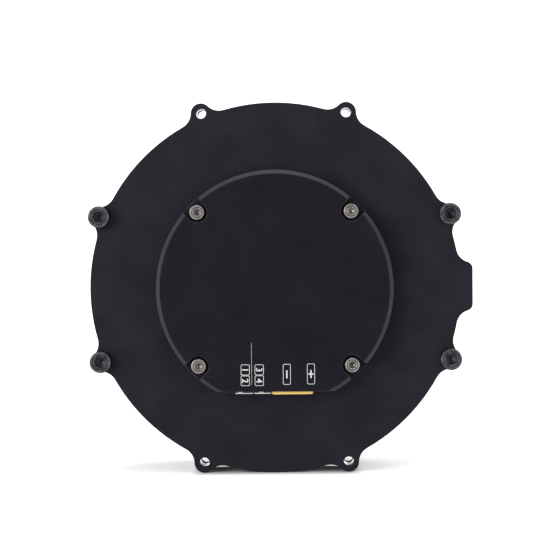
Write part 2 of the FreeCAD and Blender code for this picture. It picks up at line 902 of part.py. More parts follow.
def make_connectors():
    power_centre = power_left + size["power_width"] / 2
    connector("power_connector", [power_centre],
              (size["power_width"], size["power_height"], size["power_depth"], size["power_proud"],
               size["power_shell"], size["power_socket_depth"]))
    connector("signal_connectors", [outer_signal, size["inner_signal"]],
              (size["signal_width"], size["signal_height"], size["signal_depth"], size["signal_proud"],
               size["signal_shell"], size["signal_socket_depth"]))

    pins = new_body("power_pins", rear_station)
    mouth = cap_flat + size["power_proud"]
    start = mouth - size["power_socket_depth"]
    row = new_sketch(pins, "XZ_Plane", start)
    for side in (-1, 1):
        circle(row, (power_centre + size["power_pin_pitch"] * (side / 2), size["power_height"] / 2),
               size["power_pin_radius"])
    pad(pins, row, size["power_socket_depth"] - size["pin_end_gap"])

    pins = new_body("signal_pins", rear_station)
    mouth = cap_flat + size["signal_proud"]
    row = new_sketch(pins, "XZ_Plane", mouth - size["signal_socket_depth"])
    side = size["signal_pin_side"]
    middle = size["signal_height"] / 2
    for centre in (outer_signal, size["inner_signal"]):
        for step in (-1, 1):
            x = centre + size["signal_pin_pitch"] * (step / 2)
            rectangle(row, x - side / 2, x + side / 2, middle - side / 2, middle + side / 2)
    pad(pins, row, size["signal_socket_depth"] - size["pin_end_gap"])


def make_board_components():
    body = new_body("power_transistors", rear_station)
    sketch = new_sketch(body)
    length = size["transistor_length"]
    width = size["transistor_width"]
    for column in (-1, 0, 1):
        x = size["transistor_pitch"] * column
        for row_place in (0, 1):
            y = size["transistor_line"] - size["transistor_row"] * row_place
            rectangle(sketch, x - length / 2, x + length / 2, y - width / 2, y + width / 2)
    pad(body, sketch, size["transistor_height"])

    body = new_body("capacitors", rear_station)
    sketch = new_sketch(body)
    for turn in (150, 180, 210, 0, 25):
        circle(sketch, polar(size["capacitor_circle"], degrees(turn)), size["capacitor_radius"])
    pad(body, sketch, cap_room - size["capacitor_room"])

    body = new_body("control_chip", rear_station)
    sketch = new_sketch(body)
    half = size["chip_side"] / 2
    rectangle(sketch, -half - half, half - half, -half - half, half - half)
    pad(body, sketch, size["chip_height"])

    body = new_body("encoder_chips", board_station - size["encoder_chip_height"])
    sketch = new_sketch(body)
    half = size["encoder_chip_side"] / 2
    rectangle(sketch, -half, half, -half, half)
    offset = size["motor_chip_offset"]
    rectangle(sketch, -half, half, offset - half, offset + half)
    pad(body, sketch, size["encoder_chip_height"])


def make_stator():
    body = new_body("stator_core", stack_station)
    length = size["stack_length"]
    yoke = tube_radius + size["yoke_thickness"]
    turned(body, [(tube_radius, 0.0), (yoke, 0.0), (yoke, length), (tube_radius, length)])
    tooth = new_sketch(body)
    root = yoke - size["tooth_tip_height"]
    neck = stator_radius - size["tooth_tip_height"]
    half = size["tooth_width"] / 2
    tip = tooth_tip_width / 2
    tip_x = chord_half(stator_radius, tip)
    outline(tooth, [(root, -half), (neck, -half), (neck, -tip), (tip_x, -tip), (tip_x, tip, stator_radius),
                    (neck, tip), (neck, half), (root, half)])
    pattern(body, [pad(body, tooth, length)], size["tooth_count"])

    body = new_body("windings", stack_station)
    start = yoke + size["coil_root_gap"]
    inner = half + size["coil_liner"]
    outer = inner + size["coil_thickness"]
    coil = new_sketch(body, "YZ_Plane", start)
    rectangle(coil, -outer, outer, -size["coil_overhang"], length + size["coil_overhang"])
    rectangle(coil, -inner, inner, -size["coil_liner"], length + size["coil_liner"])
    pattern(body, [pad(body, coil, neck - size["coil_tip_gap"] - start)], size["tooth_count"])


def make_rotor():
    body = new_body("rotor_hub", disc_station)
    shaft = size["shaft_radius"]
    collar = shaft + size["rotor_race"]
    thickness = size["disc_thickness"]
    turned(body, [(shaft, 0.0), (magnet_radius, 0.0), (magnet_radius, thickness),
                  (collar, thickness), (collar, thickness + size["collar_height"]),
                  (shaft, thickness + size["collar_height"])])
    windows = new_sketch(body)
    circle(windows, polar(size["window_circle"], degrees(0)), size["window_radius"])
    pattern(body, [cut(body, windows, thickness)], size["window_count"])

    ring("flux_ring", flux_ring_station, magnet_radius, flux_ring_radius, disc_end - flux_ring_station)
    body = new_body("magnets", magnet_station)
    magnet = new_sketch(body)
    half = magnet_width / 2
    outer_x = chord_half(magnet_radius, half)
    rectangle(magnet, outer_x - size["magnet_height"], outer_x, -half, half)
    pattern(body, [pad(body, magnet, size["magnet_length"])], size["magnet_count"])


def bearing(name, station, bore, outside, width, race, ball):
    """Two bearing rings, each with a round groove for the balls."""
    middle = width / 2
    inner_edge = bore + race
    outer_edge = outside - race
    centre = (inner_edge + outer_edge) / 2
    reach = chord_half(ball, centre - inner_edge)
    inner = new_body(f"{name}_inner", station)
    turned(inner, [(bore, 0.0), (inner_edge, 0.0), (inner_edge, middle - reach),
                   (inner_edge, middle + reach, -ball), (inner_edge, width), (bore, width)])
    outer = new_body(f"{name}_outer", station)
    turned(outer, [(outer_edge, 0.0), (outside, 0.0), (outside, width), (outer_edge, width),
                   (outer_edge, middle + reach), (outer_edge, middle - reach, -ball)])


def make_bearings():
    bearing("output_bearing", bearing_station, bearing_bore, bearing_radius,
            size["output_bearing_width"], size["race_thickness"], size["ball_radius"])
    bearing("rotor_bearing", rotor_bearing_station, size["shaft_radius"], size["rotor_bearing_radius"],
            size["rotor_bearing_width"], size["rotor_race"], size["ball_radius"] + size["ball_clearance"])
    start = carrier_end - size["sun_bearing_width"]
    journal = size["journal_radius"]
    outside = journal + size["sun_bearing_section"]
    ring("sun_bearing_inner", start, journal, journal + size["sun_race"], size["sun_bearing_width"])
    ring("sun_bearing_outer", start, outside - size["sun_race"], outside, size["sun_bearing_width"])


def output_holes(count, first):
    return [polar(output_bolt_circle, degrees(first + step * 360 / count)) for step in range(count)]


def planet_angles():
    return [step * 360 / SIZES["planet_count"] for step in range(SIZES["planet_count"])]


def post_angles():
    return [turn + 180 / SIZES["planet_count"] for turn in planet_angles()]


def make_output():
    body = new_body("output_carrier", 0.0)
    rod = size["rod_radius"]
    flange = output_flange_thickness
    bearing_seat = bearing_bore
    shoulder = bearing_bore + size["carrier_shoulder"]
    turned(body, [
        (0.0, size["pilot_depth"]),
        (size["pilot_radius"], size["pilot_depth"]),
        (size["pilot_radius"], 0.0),
        (output_flange_radius, 0.0),
        (output_flange_radius, flange),
        (shoulder, flange),
        (shoulder, bearing_station),
        (bearing_seat, bearing_station),
        (bearing_seat, carrier_end),
        (0.0, carrier_end),
    ])
    posts = new_sketch(body, height=carrier_end)
    for turn in post_angles():
        circle(posts, polar(post_circle, degrees(turn)), size["post_radius"])
    pad(body, posts, plate_station - carrier_end)

    bolts = new_sketch(body)
    circle(bolts, polar(output_bolt_circle, degrees(180 / SIZES["output_bolt_count"])),
           size["output_bolt_bore"])
    pattern(body, [cut(body, bolts, size["output_bolt_depth"])], size["output_bolt_count"])
    dowels = new_sketch(body)
    for side in (-1, 1):
        circle(dowels, (dowel_circle * side, 0.0), size["dowel_radius"])
    cut(body, dowels, size["dowel_depth"])
    pins = new_sketch(body, height=carrier_end - size["pin_seat_depth"])
    for turn in planet_angles():
        circle(pins, polar(planet_circle, degrees(turn)), size["pin_radius"])
    cut(body, pins, size["pin_seat_depth"])
    seat = new_sketch(body, height=carrier_end - size["sun_bearing_width"])
    circle(seat, AXIS, size["journal_radius"] + size["sun_bearing_section"])
    cut(body, seat, size["sun_bearing_width"])
    bore = new_sketch(body, height=size["rod_seat"])
    circle(bore, AXIS, rod)
    cut(body, bore, carrier_end - size["rod_seat"])
    screw_depth = size["plate_screw_length"] + size["plate_head_height"] + size["screw_end_gap"]
    taps = new_sketch(body, height=plate_station + size["plate_thickness"] - screw_depth)
    for turn in post_angles():
        circle(taps, polar(post_circle, degrees(turn)), size["plate_screw_radius"] + size["thread_clearance"])
    cut(body, taps, screw_depth)

    body = new_body("carrier_plate", plate_station)
    thickness = size["plate_thickness"]
    turned(body, [(size["plate_bore"], 0.0), (plate_radius, 0.0), (plate_radius, thickness),
                  (size["plate_bore"], thickness)])
    holes = new_sketch(body)
    for turn in planet_angles():
        circle(holes, polar(planet_circle, degrees(turn)), size["pin_radius"])
    for turn in post_angles():
        circle(holes, polar(post_circle, degrees(turn)), size["plate_screw_radius"] + size["screw_clearance"])
    cut(body, holes, thickness)
    head_room = size["plate_head_height"] + size["plate_head_clearance"]
    heads = new_sketch(body, height=thickness - head_room)
    for turn in post_angles():
        circle(heads, polar(post_circle, degrees(turn)),
               size["plate_head_radius"] + size["plate_head_clearance"])
    cut(body, heads, head_room)

    seat_height = plate_station + thickness - head_room
    centres = [polar(post_circle, degrees(turn)) for turn in post_angles()]
    socket_screws("carrier_screws", seat_height, centres,
                  (size["plate_screw_radius"], size["plate_screw_length"]),
                  (size["plate_head_radius"], size["plate_head_height"]), size["cap_screw_hex"])

    pin_start = carrier_end - size["pin_seat_depth"]
    body = new_body("planet_pins", pin_start)
    sketch = new_sketch(body)
    for turn in planet_angles():
        circle(sketch, polar(planet_circle, degrees(turn)), size["pin_radius"])
    pad(body, sketch, plate_station + size["plate_thickness"] - pin_start)


def make_retainer():
    body = new_body("bearing_retainer", size["output_stand"])
    thickness = size["retainer_thickness"]
    turned(body, [(retainer_bore, 0.0), (retainer_radius, 0.0),
                  (retainer_radius, thickness), (retainer_bore, thickness)])
    shank = new_sketch(body)
    circle(shank, polar(retainer_screw_circle, degrees(0)),
           size["small_screw_radius"] + size["screw_clearance"])
    head = new_sketch(body)
    circle(head, polar(retainer_screw_circle, degrees(0)),
           size["retainer_head_radius"] + size["thread_clearance"])
    pattern(body, [cut(body, shank, thickness)], size["retainer_screw_count"])
    pattern(body, [cut(body, head, size["retainer_head_height"])], size["retainer_screw_count"])

    body = new_body("retainer_screws", size["output_stand"])
    centres = [polar(retainer_screw_circle, degrees(step * 360 / SIZES["retainer_screw_count"]))
               for step in range(SIZES["retainer_screw_count"])]
    heads = new_sketch(body)
    for centre in centres:
        circle(heads, centre, size["retainer_head_radius"])
    pad(body, heads, size["retainer_head_height"])
    shanks = new_sketch(body, height=size["retainer_head_height"])
    for centre in centres:
        circle(shanks, centre, size["small_screw_radius"])
    pad(body, shanks, size["retainer_screw_length"] - size["retainer_head_height"])
    sockets = new_sketch(body)
    for centre in centres:
        hexagon(sockets, centre, size["retainer_hex"])
    cut(body, sockets, size["retainer_head_height"] * 0.7)


def involute(angle):
    return math.tan(angle) - angle


def gear_wire(teeth, half_thickness, inner, outer, first, centre=Vector()):
    """Closed outline of involute teeth, one of them centred on the angle called first.

    half_thickness is half a tooth's width at the pitch circle. The flanks are involutes, each
    drawn as an arc through three of its points.
    """
    pitch = number["gear_module"] * teeth / 2
    pressure = math.radians(number["pressure_angle"])
    base = pitch * math.cos(pressure)
    foot = max(inner, base * 1.0005)
    step = 2 * math.pi / teeth

    def half_angle(radius):
        return half_thickness / pitch + involute(pressure) - involute(math.acos(base / radius))

    def point(radius, angle):
        return centre + Vector(radius * math.cos(angle), radius * math.sin(angle), 0)

    radii = [foot, (foot + outer) / 2, outer]
    edges = []
    for tooth in range(teeth):
        middle = math.radians(first) + tooth * step
        rising = [point(radius, middle - half_angle(radius)) for radius in radii]
        falling = [point(radius, middle + half_angle(radius)) for radius in reversed(radii)]
        start = point(inner, middle - half_angle(foot))
        end = point(inner, middle + half_angle(foot))
        following = point(inner, middle + step - half_angle(foot))
        if foot > inner:
            edges.append(Part.LineSegment(start, rising[0]).toShape())
        edges.append(Part.Arc(*rising).toShape())
        edges.append(Part.Arc(rising[-1], point(outer, middle), falling[0]).toShape())
        edges.append(Part.Arc(*falling).toShape())
        if foot > inner:
            edges.append(Part.LineSegment(falling[-1], end).toShape())
        edges.append(Part.Arc(end, point(inner, middle + step / 2), following).toShape())
    return Part.Wire(edges)


def make_gears():
    module = number["gear_module"]
    width = number["gear_width"]
    addendum = number["addendum"] * module
    dedendum = number["dedendum"] * module
    # A planet spans from the sun to the ring, and sun and planet teeth together are a multiple
    # of three, so the three planets mesh alike.
    sun_teeth = SIZES["sun_teeth"]
    planet_teeth = SIZES["planet_teeth"]
    half_tooth = math.pi * module / 4 - number["backlash"] / 2
    half_space = math.pi * module / 4 + number["backlash"] / 2

    overlap = size["ring_overlap"]
    ring_pitch = float(ring_root) - dedendum
    inside = gear_wire(sun_teeth + 2 * planet_teeth, half_space, ring_pitch - addendum, float(ring_root), 0.0)
    outside = Part.Wire(Part.Circle(Vector(), Vector(0, 0, 1), float(tube_bore)).toShape())
    face = Part.makeFace([outside, inside], "Part::FaceMakerBullseye")
    solid_feature("ring_gear", planet_station - overlap, face.extrude(Vector(0, 0, width + 2 * float(overlap))))

    pitch = module * planet_teeth / 2
    for place, turn in enumerate(planet_angles(), start=1):
        centre = polar(planet_circle, degrees(turn))
        hub = Vector(float(centre[0]), float(centre[1]), 0)
        outside = gear_wire(planet_teeth, half_tooth, pitch - dedendum, pitch + addendum, turn, hub)
        bore = Part.Wire(Part.Circle(hub, Vector(0, 0, 1), number["bush_radius"]).toShape())
        face = Part.makeFace([outside, bore], "Part::FaceMakerBullseye")
        solid_feature(f"planet_gear_{place}", planet_station, face.extrude(Vector(0, 0, width)))
        body = new_body(f"planet_bush_{place}", planet_station)
        sketch = new_sketch(body)
        circle(sketch, centre, size["bush_radius"])
        circle(sketch, centre, size["pin_radius"] + size["running_clearance"])
        pad(body, sketch, size["gear_width"])

    pitch = module * sun_teeth / 2
    teeth_start = float(size["journal_lead"])
    teeth_length = float(disc_station - carrier_end) - teeth_start
    outside = gear_wire(sun_teeth, half_tooth, pitch - dedendum, pitch + addendum, 180.0 / sun_teeth)
    teeth = Part.Face(outside).extrude(Vector(0, 0, teeth_length))
    bearing_width = number["sun_bearing_width"]
    teeth.translate(Vector(0, 0, bearing_width + teeth_start))
    journal = Part.makeCylinder(number["journal_radius"], bearing_width + teeth_start)
    shank_length = float(web_station - disc_station) + number["shaft_overhang"]
    shank_start = bearing_width + teeth_start + teeth_length
    shank = Part.makeCylinder(number["shaft_radius"], shank_length, Vector(0, 0, shank_start))
    bore = Part.makeCylinder(number["shaft_bore"], shank_start + shank_length)
    shaft = teeth.fuse([journal, shank]).cut(bore)
    solid_feature("sun_shaft", carrier_end - size["sun_bearing_width"], shaft)


def make_encoders():
    magnet_end = board_station - size["encoder_chip_height"] - size["encoder_gap"]
    magnet_start = magnet_end - size["output_magnet_height"]
    ring("motor_encoder_magnet", web_station + size["shaft_overhang"],
         size["shaft_bore"] + size["encoder_gap"], size["motor_magnet_radius"], size["motor_magnet_height"])
    for label, start, radius, end in (
        ("encoder_rod", size["rod_seat"], size["rod_radius"], magnet_start),
        ("output_encoder_magnet", magnet_start, size["output_magnet_radius"], magnet_end),
    ):
        rod = doc.addObject("Part::Cylinder", label)
        rod.Label = label
        rod.setExpression("Radius", radius.text)
        rod.setExpression("Height", (end - start).text)
        stand(rod, start)


def make_phase_leads():
    """Three motor leads: out of the windings, along the tab's channel, and in to the board."""
    bend = number["lead_bend"]
    radius = number["lead_radius"]
    front = float(flux_ring_station) - radius - number["lead_gap"]
    channel = float(tab_channel_end + cavity_radius) / 2
    back = float(rotor_bearing_station) + bend + radius
    slot = float(slot_near + slot_far) / 2
    route = [(float(stator_radius) - bend * 2, front), (channel, front), (channel, back), (slot, back),
             (slot, float(board_station))]
    leads = []
    for side in (-1, 0, 1):
        points = [Vector(x, side * number["lead_spacing"], z) for x, z in route]
        pieces = []
        start = points[0]
        for before, corner, after in zip(points, points[1:], points[2:]):
            arriving = (corner - before).normalize()
            leaving = (after - corner).normalize()
            arrive = corner - arriving * bend
            run = arrive - start
            pieces.append(Part.makeCylinder(radius, run.Length, start, arriving))
            section = Part.Face(Part.Wire(Part.Circle(arrive, arriving, radius).toShape()))
            pieces.append(section.revolve(arrive + leaving * bend, arriving.cross(leaving), 90.0))
            start = corner + leaving * bend
        run = points[-1] - start
        pieces.append(Part.makeCylinder(radius, run.Length, start, leaving))
        leads.append(pieces[0].fuse(pieces[1:]))
    solid_feature("phase_leads", 0.0, Part.Compound(leads))


make_front_housing()
make_rear_housing()
make_controller_cap()
make_driver_board()
make_screws()
make_connectors()
make_board_components()
make_stator()
make_rotor()
make_bearings()
make_output()
make_retainer()
make_gears()
make_encoders()
make_phase_leads()
doc.recompute()

sub_parts = [
    item for item in doc.Objects
    if item.TypeId in ("PartDesign::Body", "Part::Feature", "Part::Cylinder")
]
for item in doc.Objects:
    if "Invalid" in item.State or "Error" in item.State:
        raise RuntimeError(f"{item.Label} ({item.TypeId}) failed: {item.State}")
for item in doc.Objects:
    if item.TypeId == "PartDesign::Pocket" and item.BaseFeature is not None:
        if item.Shape.Volume > item.BaseFeature.Shape.Volume - 1e-6:
            raise RuntimeError(f"{item.Label} of {item.getParentGeoFeatureGroup().Label} cuts nothing")
for item in sub_parts:
    if item.Shape.isNull() or not item.Shape.isValid():
        raise RuntimeError(f"{item.Label} has no valid shape")
for item in sub_parts:
    item.Shape.exportStep(f"parts/{item.Label}.step")
    print(f"{item.Label}: {len(item.Shape.Solids)} solid(s), {item.Shape.Volume:.1f} mm3")
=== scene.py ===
# %% [markdown]
# A geared robot joint actuator, seen square on from its rear.
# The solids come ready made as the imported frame: housings, motor, gear and electronics.
# This lesson gives them their finishes, and models what the eye rests on at close range:
# screws with knurled heads, sockets with their windows and ribs, and the printed marks.
# Everything is in metres and in the part's own frame. The motor's axis is Y, its rear
# faces the camera at minus Y, and Z points up.

import math

import bpy
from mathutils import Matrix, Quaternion, Vector


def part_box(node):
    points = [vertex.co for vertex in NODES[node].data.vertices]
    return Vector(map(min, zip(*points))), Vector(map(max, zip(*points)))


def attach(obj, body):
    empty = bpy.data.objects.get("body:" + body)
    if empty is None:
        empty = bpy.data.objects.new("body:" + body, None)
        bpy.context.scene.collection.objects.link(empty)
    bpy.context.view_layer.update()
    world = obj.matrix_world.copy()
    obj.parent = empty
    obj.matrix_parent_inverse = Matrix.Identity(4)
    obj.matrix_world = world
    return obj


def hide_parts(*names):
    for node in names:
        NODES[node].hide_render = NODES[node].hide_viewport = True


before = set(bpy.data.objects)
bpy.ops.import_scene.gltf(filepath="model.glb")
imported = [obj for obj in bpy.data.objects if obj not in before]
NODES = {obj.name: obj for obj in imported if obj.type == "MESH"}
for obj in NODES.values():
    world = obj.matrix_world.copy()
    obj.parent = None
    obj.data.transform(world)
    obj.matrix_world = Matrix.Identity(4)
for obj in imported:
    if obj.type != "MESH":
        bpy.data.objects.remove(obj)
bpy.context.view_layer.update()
MM = 0.001
print("carried-over nodes:", len(NODES))

# %% [markdown]
# Modelling goes on in two modes. In object mode whole pieces are added, copied and joined.
# In edit mode a tool acts on what is selected, so each step first says which faces or
# vertices it means. Picking them by place and direction does what a click does by hand,
# and it still works when a size changes.

# %% Helpers for picking
def deselect():
    """Back to object mode with nothing selected, because every tool acts on the selection."""
    if bpy.context.object and bpy.context.object.mode != "OBJECT":
        bpy.ops.object.mode_set(mode="OBJECT")
    bpy.ops.object.select_all(action="DESELECT")


def only(piece):
    """Makes one piece the selected and active one."""
    deselect()
    piece.select_set(True)
    bpy.context.view_layer.objects.active = piece


def pick(piece, kind, parts, test):
    """Edit mode with just those parts of the mesh selected that pass the test."""
    only(piece)
    bpy.ops.object.mode_set(mode="EDIT")
    bpy.ops.mesh.select_mode(type=kind)
    bpy.ops.mesh.select_all(action="DESELECT")
    bpy.ops.object.mode_set(mode="OBJECT")
    for part in getattr(piece.data, parts):
        part.select = test(part)
    bpy.ops.object.mode_set(mode="EDIT")


def pick_faces(piece, test):
    """Picks the faces that pass test(centre, normal)."""
    pick(piece, "FACE", "polygons", lambda face: test(face.center, face.normal))


def pick_vertices(piece, test):
    """Picks the vertices that pass test(place)."""
    pick(piece, "VERT", "vertices", lambda vertex: test(vertex.co))


def pick_edges(piece, test):
    """Picks the edges that pass test(one end, other end)."""
    pick(piece, "EDGE", "edges", lambda edge: test(*(piece.data.vertices[at].co for at in edge.vertices)))


# %% [markdown]
# A finished piece has its place in its mesh and its object at the origin, as the frame's own
# pieces have. What repeats is modelled once and copied, and a hole is cut with a second
# shape. At the end each piece gets its finish, the body it moves with, and the frame's piece
# that it stands for.

# %% Helpers for finishing a piece
def settle(piece, name):
    """Puts a piece's place into its mesh, and shades it smooth between its sharp edges."""
    only(piece)
    bpy.ops.object.transform_apply(location=True, rotation=True, scale=True)
    bpy.ops.object.shade_smooth_by_angle(angle=math.radians(32))
    piece.name = name
    piece.data.name = name
    return piece


def copy_piece(piece, name):
    """A copy with its own mesh."""
    only(piece)
    bpy.ops.object.duplicate(linked=False)
    return settle(bpy.context.object, name)


def shape_by(piece, kind, **settings):
    """Adds a modifier with its settings and applies it to the mesh."""
    only(piece)
    modifier = piece.modifiers.new(kind.lower(), kind)
    for name, value in settings.items():
        setattr(modifier, name, value)
    bpy.ops.object.modifier_apply(modifier=modifier.name)


def cut_out(piece, cutter):
    """Takes the cutter's shape out of the piece, and removes the cutter."""
    shape_by(piece, "BOOLEAN", object=cutter, operation="DIFFERENCE", solver="EXACT")
    bpy.data.objects.remove(cutter)


def finish_as(piece, material, body="housing", node=None):
    """Gives a piece its finish, the body it moves with and the node it stands for."""
    piece.data.materials.clear()
    piece.data.materials.append(material)
    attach(piece, body)
    if node:
        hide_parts(node)


# %% [markdown]
# The picture was taken with a long lens from about half a metre, a little above and to
# the right of the axis. The rims of the open holes show how far away, because their
# far edges shift towards the camera's foot point. A long lens from that place gives the
# same overlaps. The picture also leans about half a degree, so the camera is rolled.

# %% Camera
PICTURE, FOCAL, SENSOR = 550, 1852, 36.0
# How far the plate's centre falls below and right of the picture's middle, in pixels
CENTRE_BELOW, CENTRE_RIGHT = 12.9, -0.1
LEAN = -0.57
REAR_FACE = -33.5 * MM
plate_centre = Vector((0, REAR_FACE, 0))
camera_place = Vector((8.0, -513.5, 16.2)) * MM

deselect()
bpy.ops.object.camera_add(location=camera_place)
camera = bpy.context.object
camera.name = "studio_camera"
camera.data.sensor_width = SENSOR
camera.data.lens = SENSOR * FOCAL / PICTURE
camera.data.clip_start = 0.01
aim = (plate_centre - camera_place).normalized().to_track_quat("-Z", "Y")
raised = Quaternion((1, 0, 0), math.atan(CENTRE_BELOW / FOCAL))
swung = Quaternion((0, 1, 0), math.atan(CENTRE_RIGHT / FOCAL))
rolled = Quaternion((0, 0, 1), math.radians(LEAN))
camera.rotation_mode = "QUATERNION"
camera.rotation_quaternion = aim @ (raised @ swung) @ rolled
bpy.context.scene.camera = camera
bpy.context.scene.view_settings.view_transform = "Standard"
print("lens in mm:", round(camera.data.lens, 1))

# %% [markdown]
# A material is a small graph: patterns made from a place on the object, mixed into colour,
# roughness and bump. Colours are written as on a screen, in sRGB hex, and the renderer
# wants linear light, so one function turns them. Pattern scales come from real sizes: a
# noise with scale 1000 / 0.5 has details about half a millimetre apart. A noise stays
# mostly between 0.3 and 0.7, so that span is what is spread over a roughness.

# %% Helpers for materials
SOFT = {"Detail": 2.0, "Roughness": 0.55}
FINE = {"Detail": 3.0, "Roughness": 0.55}
SPREAD = {"From Min": 0.3, "From Max": 0.7}


def linear(hex_colour):
    """An sRGB colour such as 2a2b2e as linear red, green and blue with full alpha."""
    channels = [int(hex_colour[at:at + 2], 16) / 255 for at in (0, 2, 4)]
    light = [c / 12.92 if c <= 0.04045 else ((c + 0.055) / 1.055) ** 2.4 for c in channels]
    return (*light, 1.0)


def each(size_mm):
    """The pattern scale that repeats about every size_mm millimetres."""
    return 1000.0 / size_mm


def output_of(source):
    """The output that a link starts from: the one given, or a node's first."""
    return source if isinstance(source, bpy.types.NodeSocket) else source.outputs[0]


def add(material, kind, settings=None, links=None):
    """Adds a node, gives it settings, input values and colour stops, and links its inputs."""
    fresh = material.node_tree.nodes.new("ShaderNode" + kind)
    for name, value in (settings or {}).items():
        if name == "stops":
            for point, (position, colour) in zip(fresh.color_ramp.elements, value):
                point.position = position
                point.color = linear(colour)
        elif isinstance(name, str) and hasattr(fresh, name):
            setattr(fresh, name, value)
        else:
            fresh.inputs[name].default_value = value
    for name, source in (links or {}).items():
        material.node_tree.links.new(output_of(source), fresh.inputs[name])
    return fresh


def start_material(name):
    """An empty material with a shader and an output, and the object's own coordinates."""
    material = bpy.data.materials.new(name)
    material.use_nodes = True
    material.node_tree.nodes.clear()
    shader = add(material, "BsdfPrincipled")
    add(material, "OutputMaterial", links={"Surface": shader})
    place = add(material, "TexCoord").outputs["Object"]
    return material, shader, place


def feed(material, shader, **sockets):
    """Links outputs to the shader, with _ for a space in the socket's name."""
    for name, source in sockets.items():
        material.node_tree.links.new(output_of(source), shader.inputs[name.replace("_", " ")])


# %% [markdown]
# Some small groups of nodes come back in several finishes: how far a point is from the
# motor's axis, two patterns added up, and where a surface turns over an edge.

# %% Groups of nodes
def from_axis(material, place):
    """Distance from the motor's axis and place along it, in metres."""
    split = add(material, "SeparateXYZ", links={"Vector": place})
    flat = add(material, "CombineXYZ", links={"X": split.outputs["X"], "Z": split.outputs["Z"]})
    radius = add(material, "VectorMath", {"operation": "LENGTH"}, {0: flat}).outputs["Value"]
    return radius, split.outputs["Y"]


def added_up(material, first, first_share, second, second_share):
    """Two patterns added up, each at its own share."""
    parts = [add(material, "Math", {"operation": "MULTIPLY", 1: share}, {0: pattern})
             for pattern, share in ((first, first_share), (second, second_share))]
    return add(material, "Math", {"operation": "ADD"}, {0: parts[0], 1: parts[1]})


def worn_and_highlit_edge(material, width_mm):
    """A rounded normal, and 0 on flats and 1 on outer edges, found by how far it turns."""
    round_normal = add(material, "Bevel", {"samples": 6, "Radius": width_mm * MM})
    geometry = add(material, "NewGeometry")
    agree = add(material, "VectorMath", {"operation": "DOT_PRODUCT"},
                {0: round_normal, 1: geometry.outputs["Normal"]}).outputs["Value"]
    apart = add(material, "Math", {"operation": "SUBTRACT", 0: 1.0}, {1: agree})
    edge = add(material, "MapRange", {"From Min": 0.03, "From Max": 0.35}, {"Value": apart})
    return round_normal, edge


# %% [markdown]
# Both housing halves and the cap are turned and milled aluminium alloy, bead blasted and
# black anodised. The blasting leaves a fine matt grain about a tenth of a millimetre
# across, drawn here at about a quarter so that it shows. The dye is never quite even, so
# the black drifts over a few millimetres. Along outer edges the colour turns greyer:
# partly the thinner film there, partly a painted highlight where the edge catches light.

# %% Black anodised aluminium
def black_anodised(name, dark, light, rough, grain_mm, sheen, edge_mm, edge_wear_and_highlight, bare):
    material, shader, place = start_material(name)
    drift = add(material, "TexNoise", {"Scale": each(9.0), **SOFT}, {"Vector": place})
    grain = add(material, "TexNoise", {"Scale": each(grain_mm), "Detail": 2.0, "Roughness": 0.7},
                {"Vector": place})
    colour = add(material, "ValToRGB", {"stops": [(0.34, dark), (0.66, light)]},
                 {"Fac": added_up(material, drift, 0.7, grain, 0.3)})
    soft_edge, edge = worn_and_highlit_edge(material, edge_mm)
    # Lighter outer edges: partly worn thin film, partly painted highlight.
    wear = add(material, "Math", {"operation": "MULTIPLY", 1: edge_wear_and_highlight}, {0: edge})
    worn = add(material, "Mix", {"data_type": "RGBA", "B": linear(bare)}, {"A": colour, "Factor": wear})
    bump = add(material, "Bump", {"Strength": 0.22, "Distance": 0.02 * MM},
               {"Height": grain, "Normal": soft_edge})
    roughness = add(material, "MapRange", {**SPREAD, "To Min": rough - 0.05, "To Max": rough + 0.07},
                    {"Value": grain})
    shader.inputs["Specular IOR Level"].default_value = sheen
    shader.inputs["IOR"].default_value = 1.6
    feed(material, shader, Base_Color=worn.outputs["Result"], Normal=bump, Roughness=roughness)
    return material


housing_black = black_anodised("black_anodised_blasted", "1a1920", "23222a", rough=0.5, grain_mm=0.28,
                               sheen=0.055, edge_mm=0.16, edge_wear_and_highlight=0.55, bare="4a4b4f")
print("housing finish:", housing_black.name)

# %% [markdown]
# The floor and the backdrop are one white sweep, as on a product table. A white board that
# fills the picture can look grey, so it glows a little by itself, but only for the camera,
# in mirror-like reflections and through clear things. It glows more further off, where the
# lamps reach less, and hardly at all in a band right under the object: its real shadow lies
# there, and the missing glow paints it darker, as a painted shadow shaped to the housings.

# %% Floor and backdrop
FLOOR = -48.0 * MM
SWEEP, BACKDROP, CURVE = 6.0, 3.0, 1.2
BACK_EDGE = SWEEP / 2 - 0.1
# Half the width of the painted shadow, where the object comes close to the floor, under its rear and its
# front
PAINTED_SHADOW_HALF_REAR, PAINTED_SHADOW_HALF_FRONT = 18.5 * MM, 9.0 * MM
REAR_ENDS, FRONT_STARTS = -22.6 * MM, -20.8 * MM
END_GAP, FADE = 1.0 * MM, 4.0 * MM
GLOW_IN_PAINTED_SHADOW, GLOW_BESIDE, GLOW_FAR = 0.015, 0.5, 0.58
FAR_FROM, FAR_TO = 0.2, 0.9


def seen_plainly(material):
    """1 for the camera's own rays, and for those that were mirrored or went through."""
    path = add(material, "LightPath")
    seen = add(material, "Math", {"operation": "MAXIMUM"},
               {0: path.outputs["Is Camera Ray"], 1: path.outputs["Is Glossy Ray"]})
    return add(material, "Math", {"operation": "MAXIMUM"}, {0: seen, 1: path.outputs["Is Transmission Ray"]})


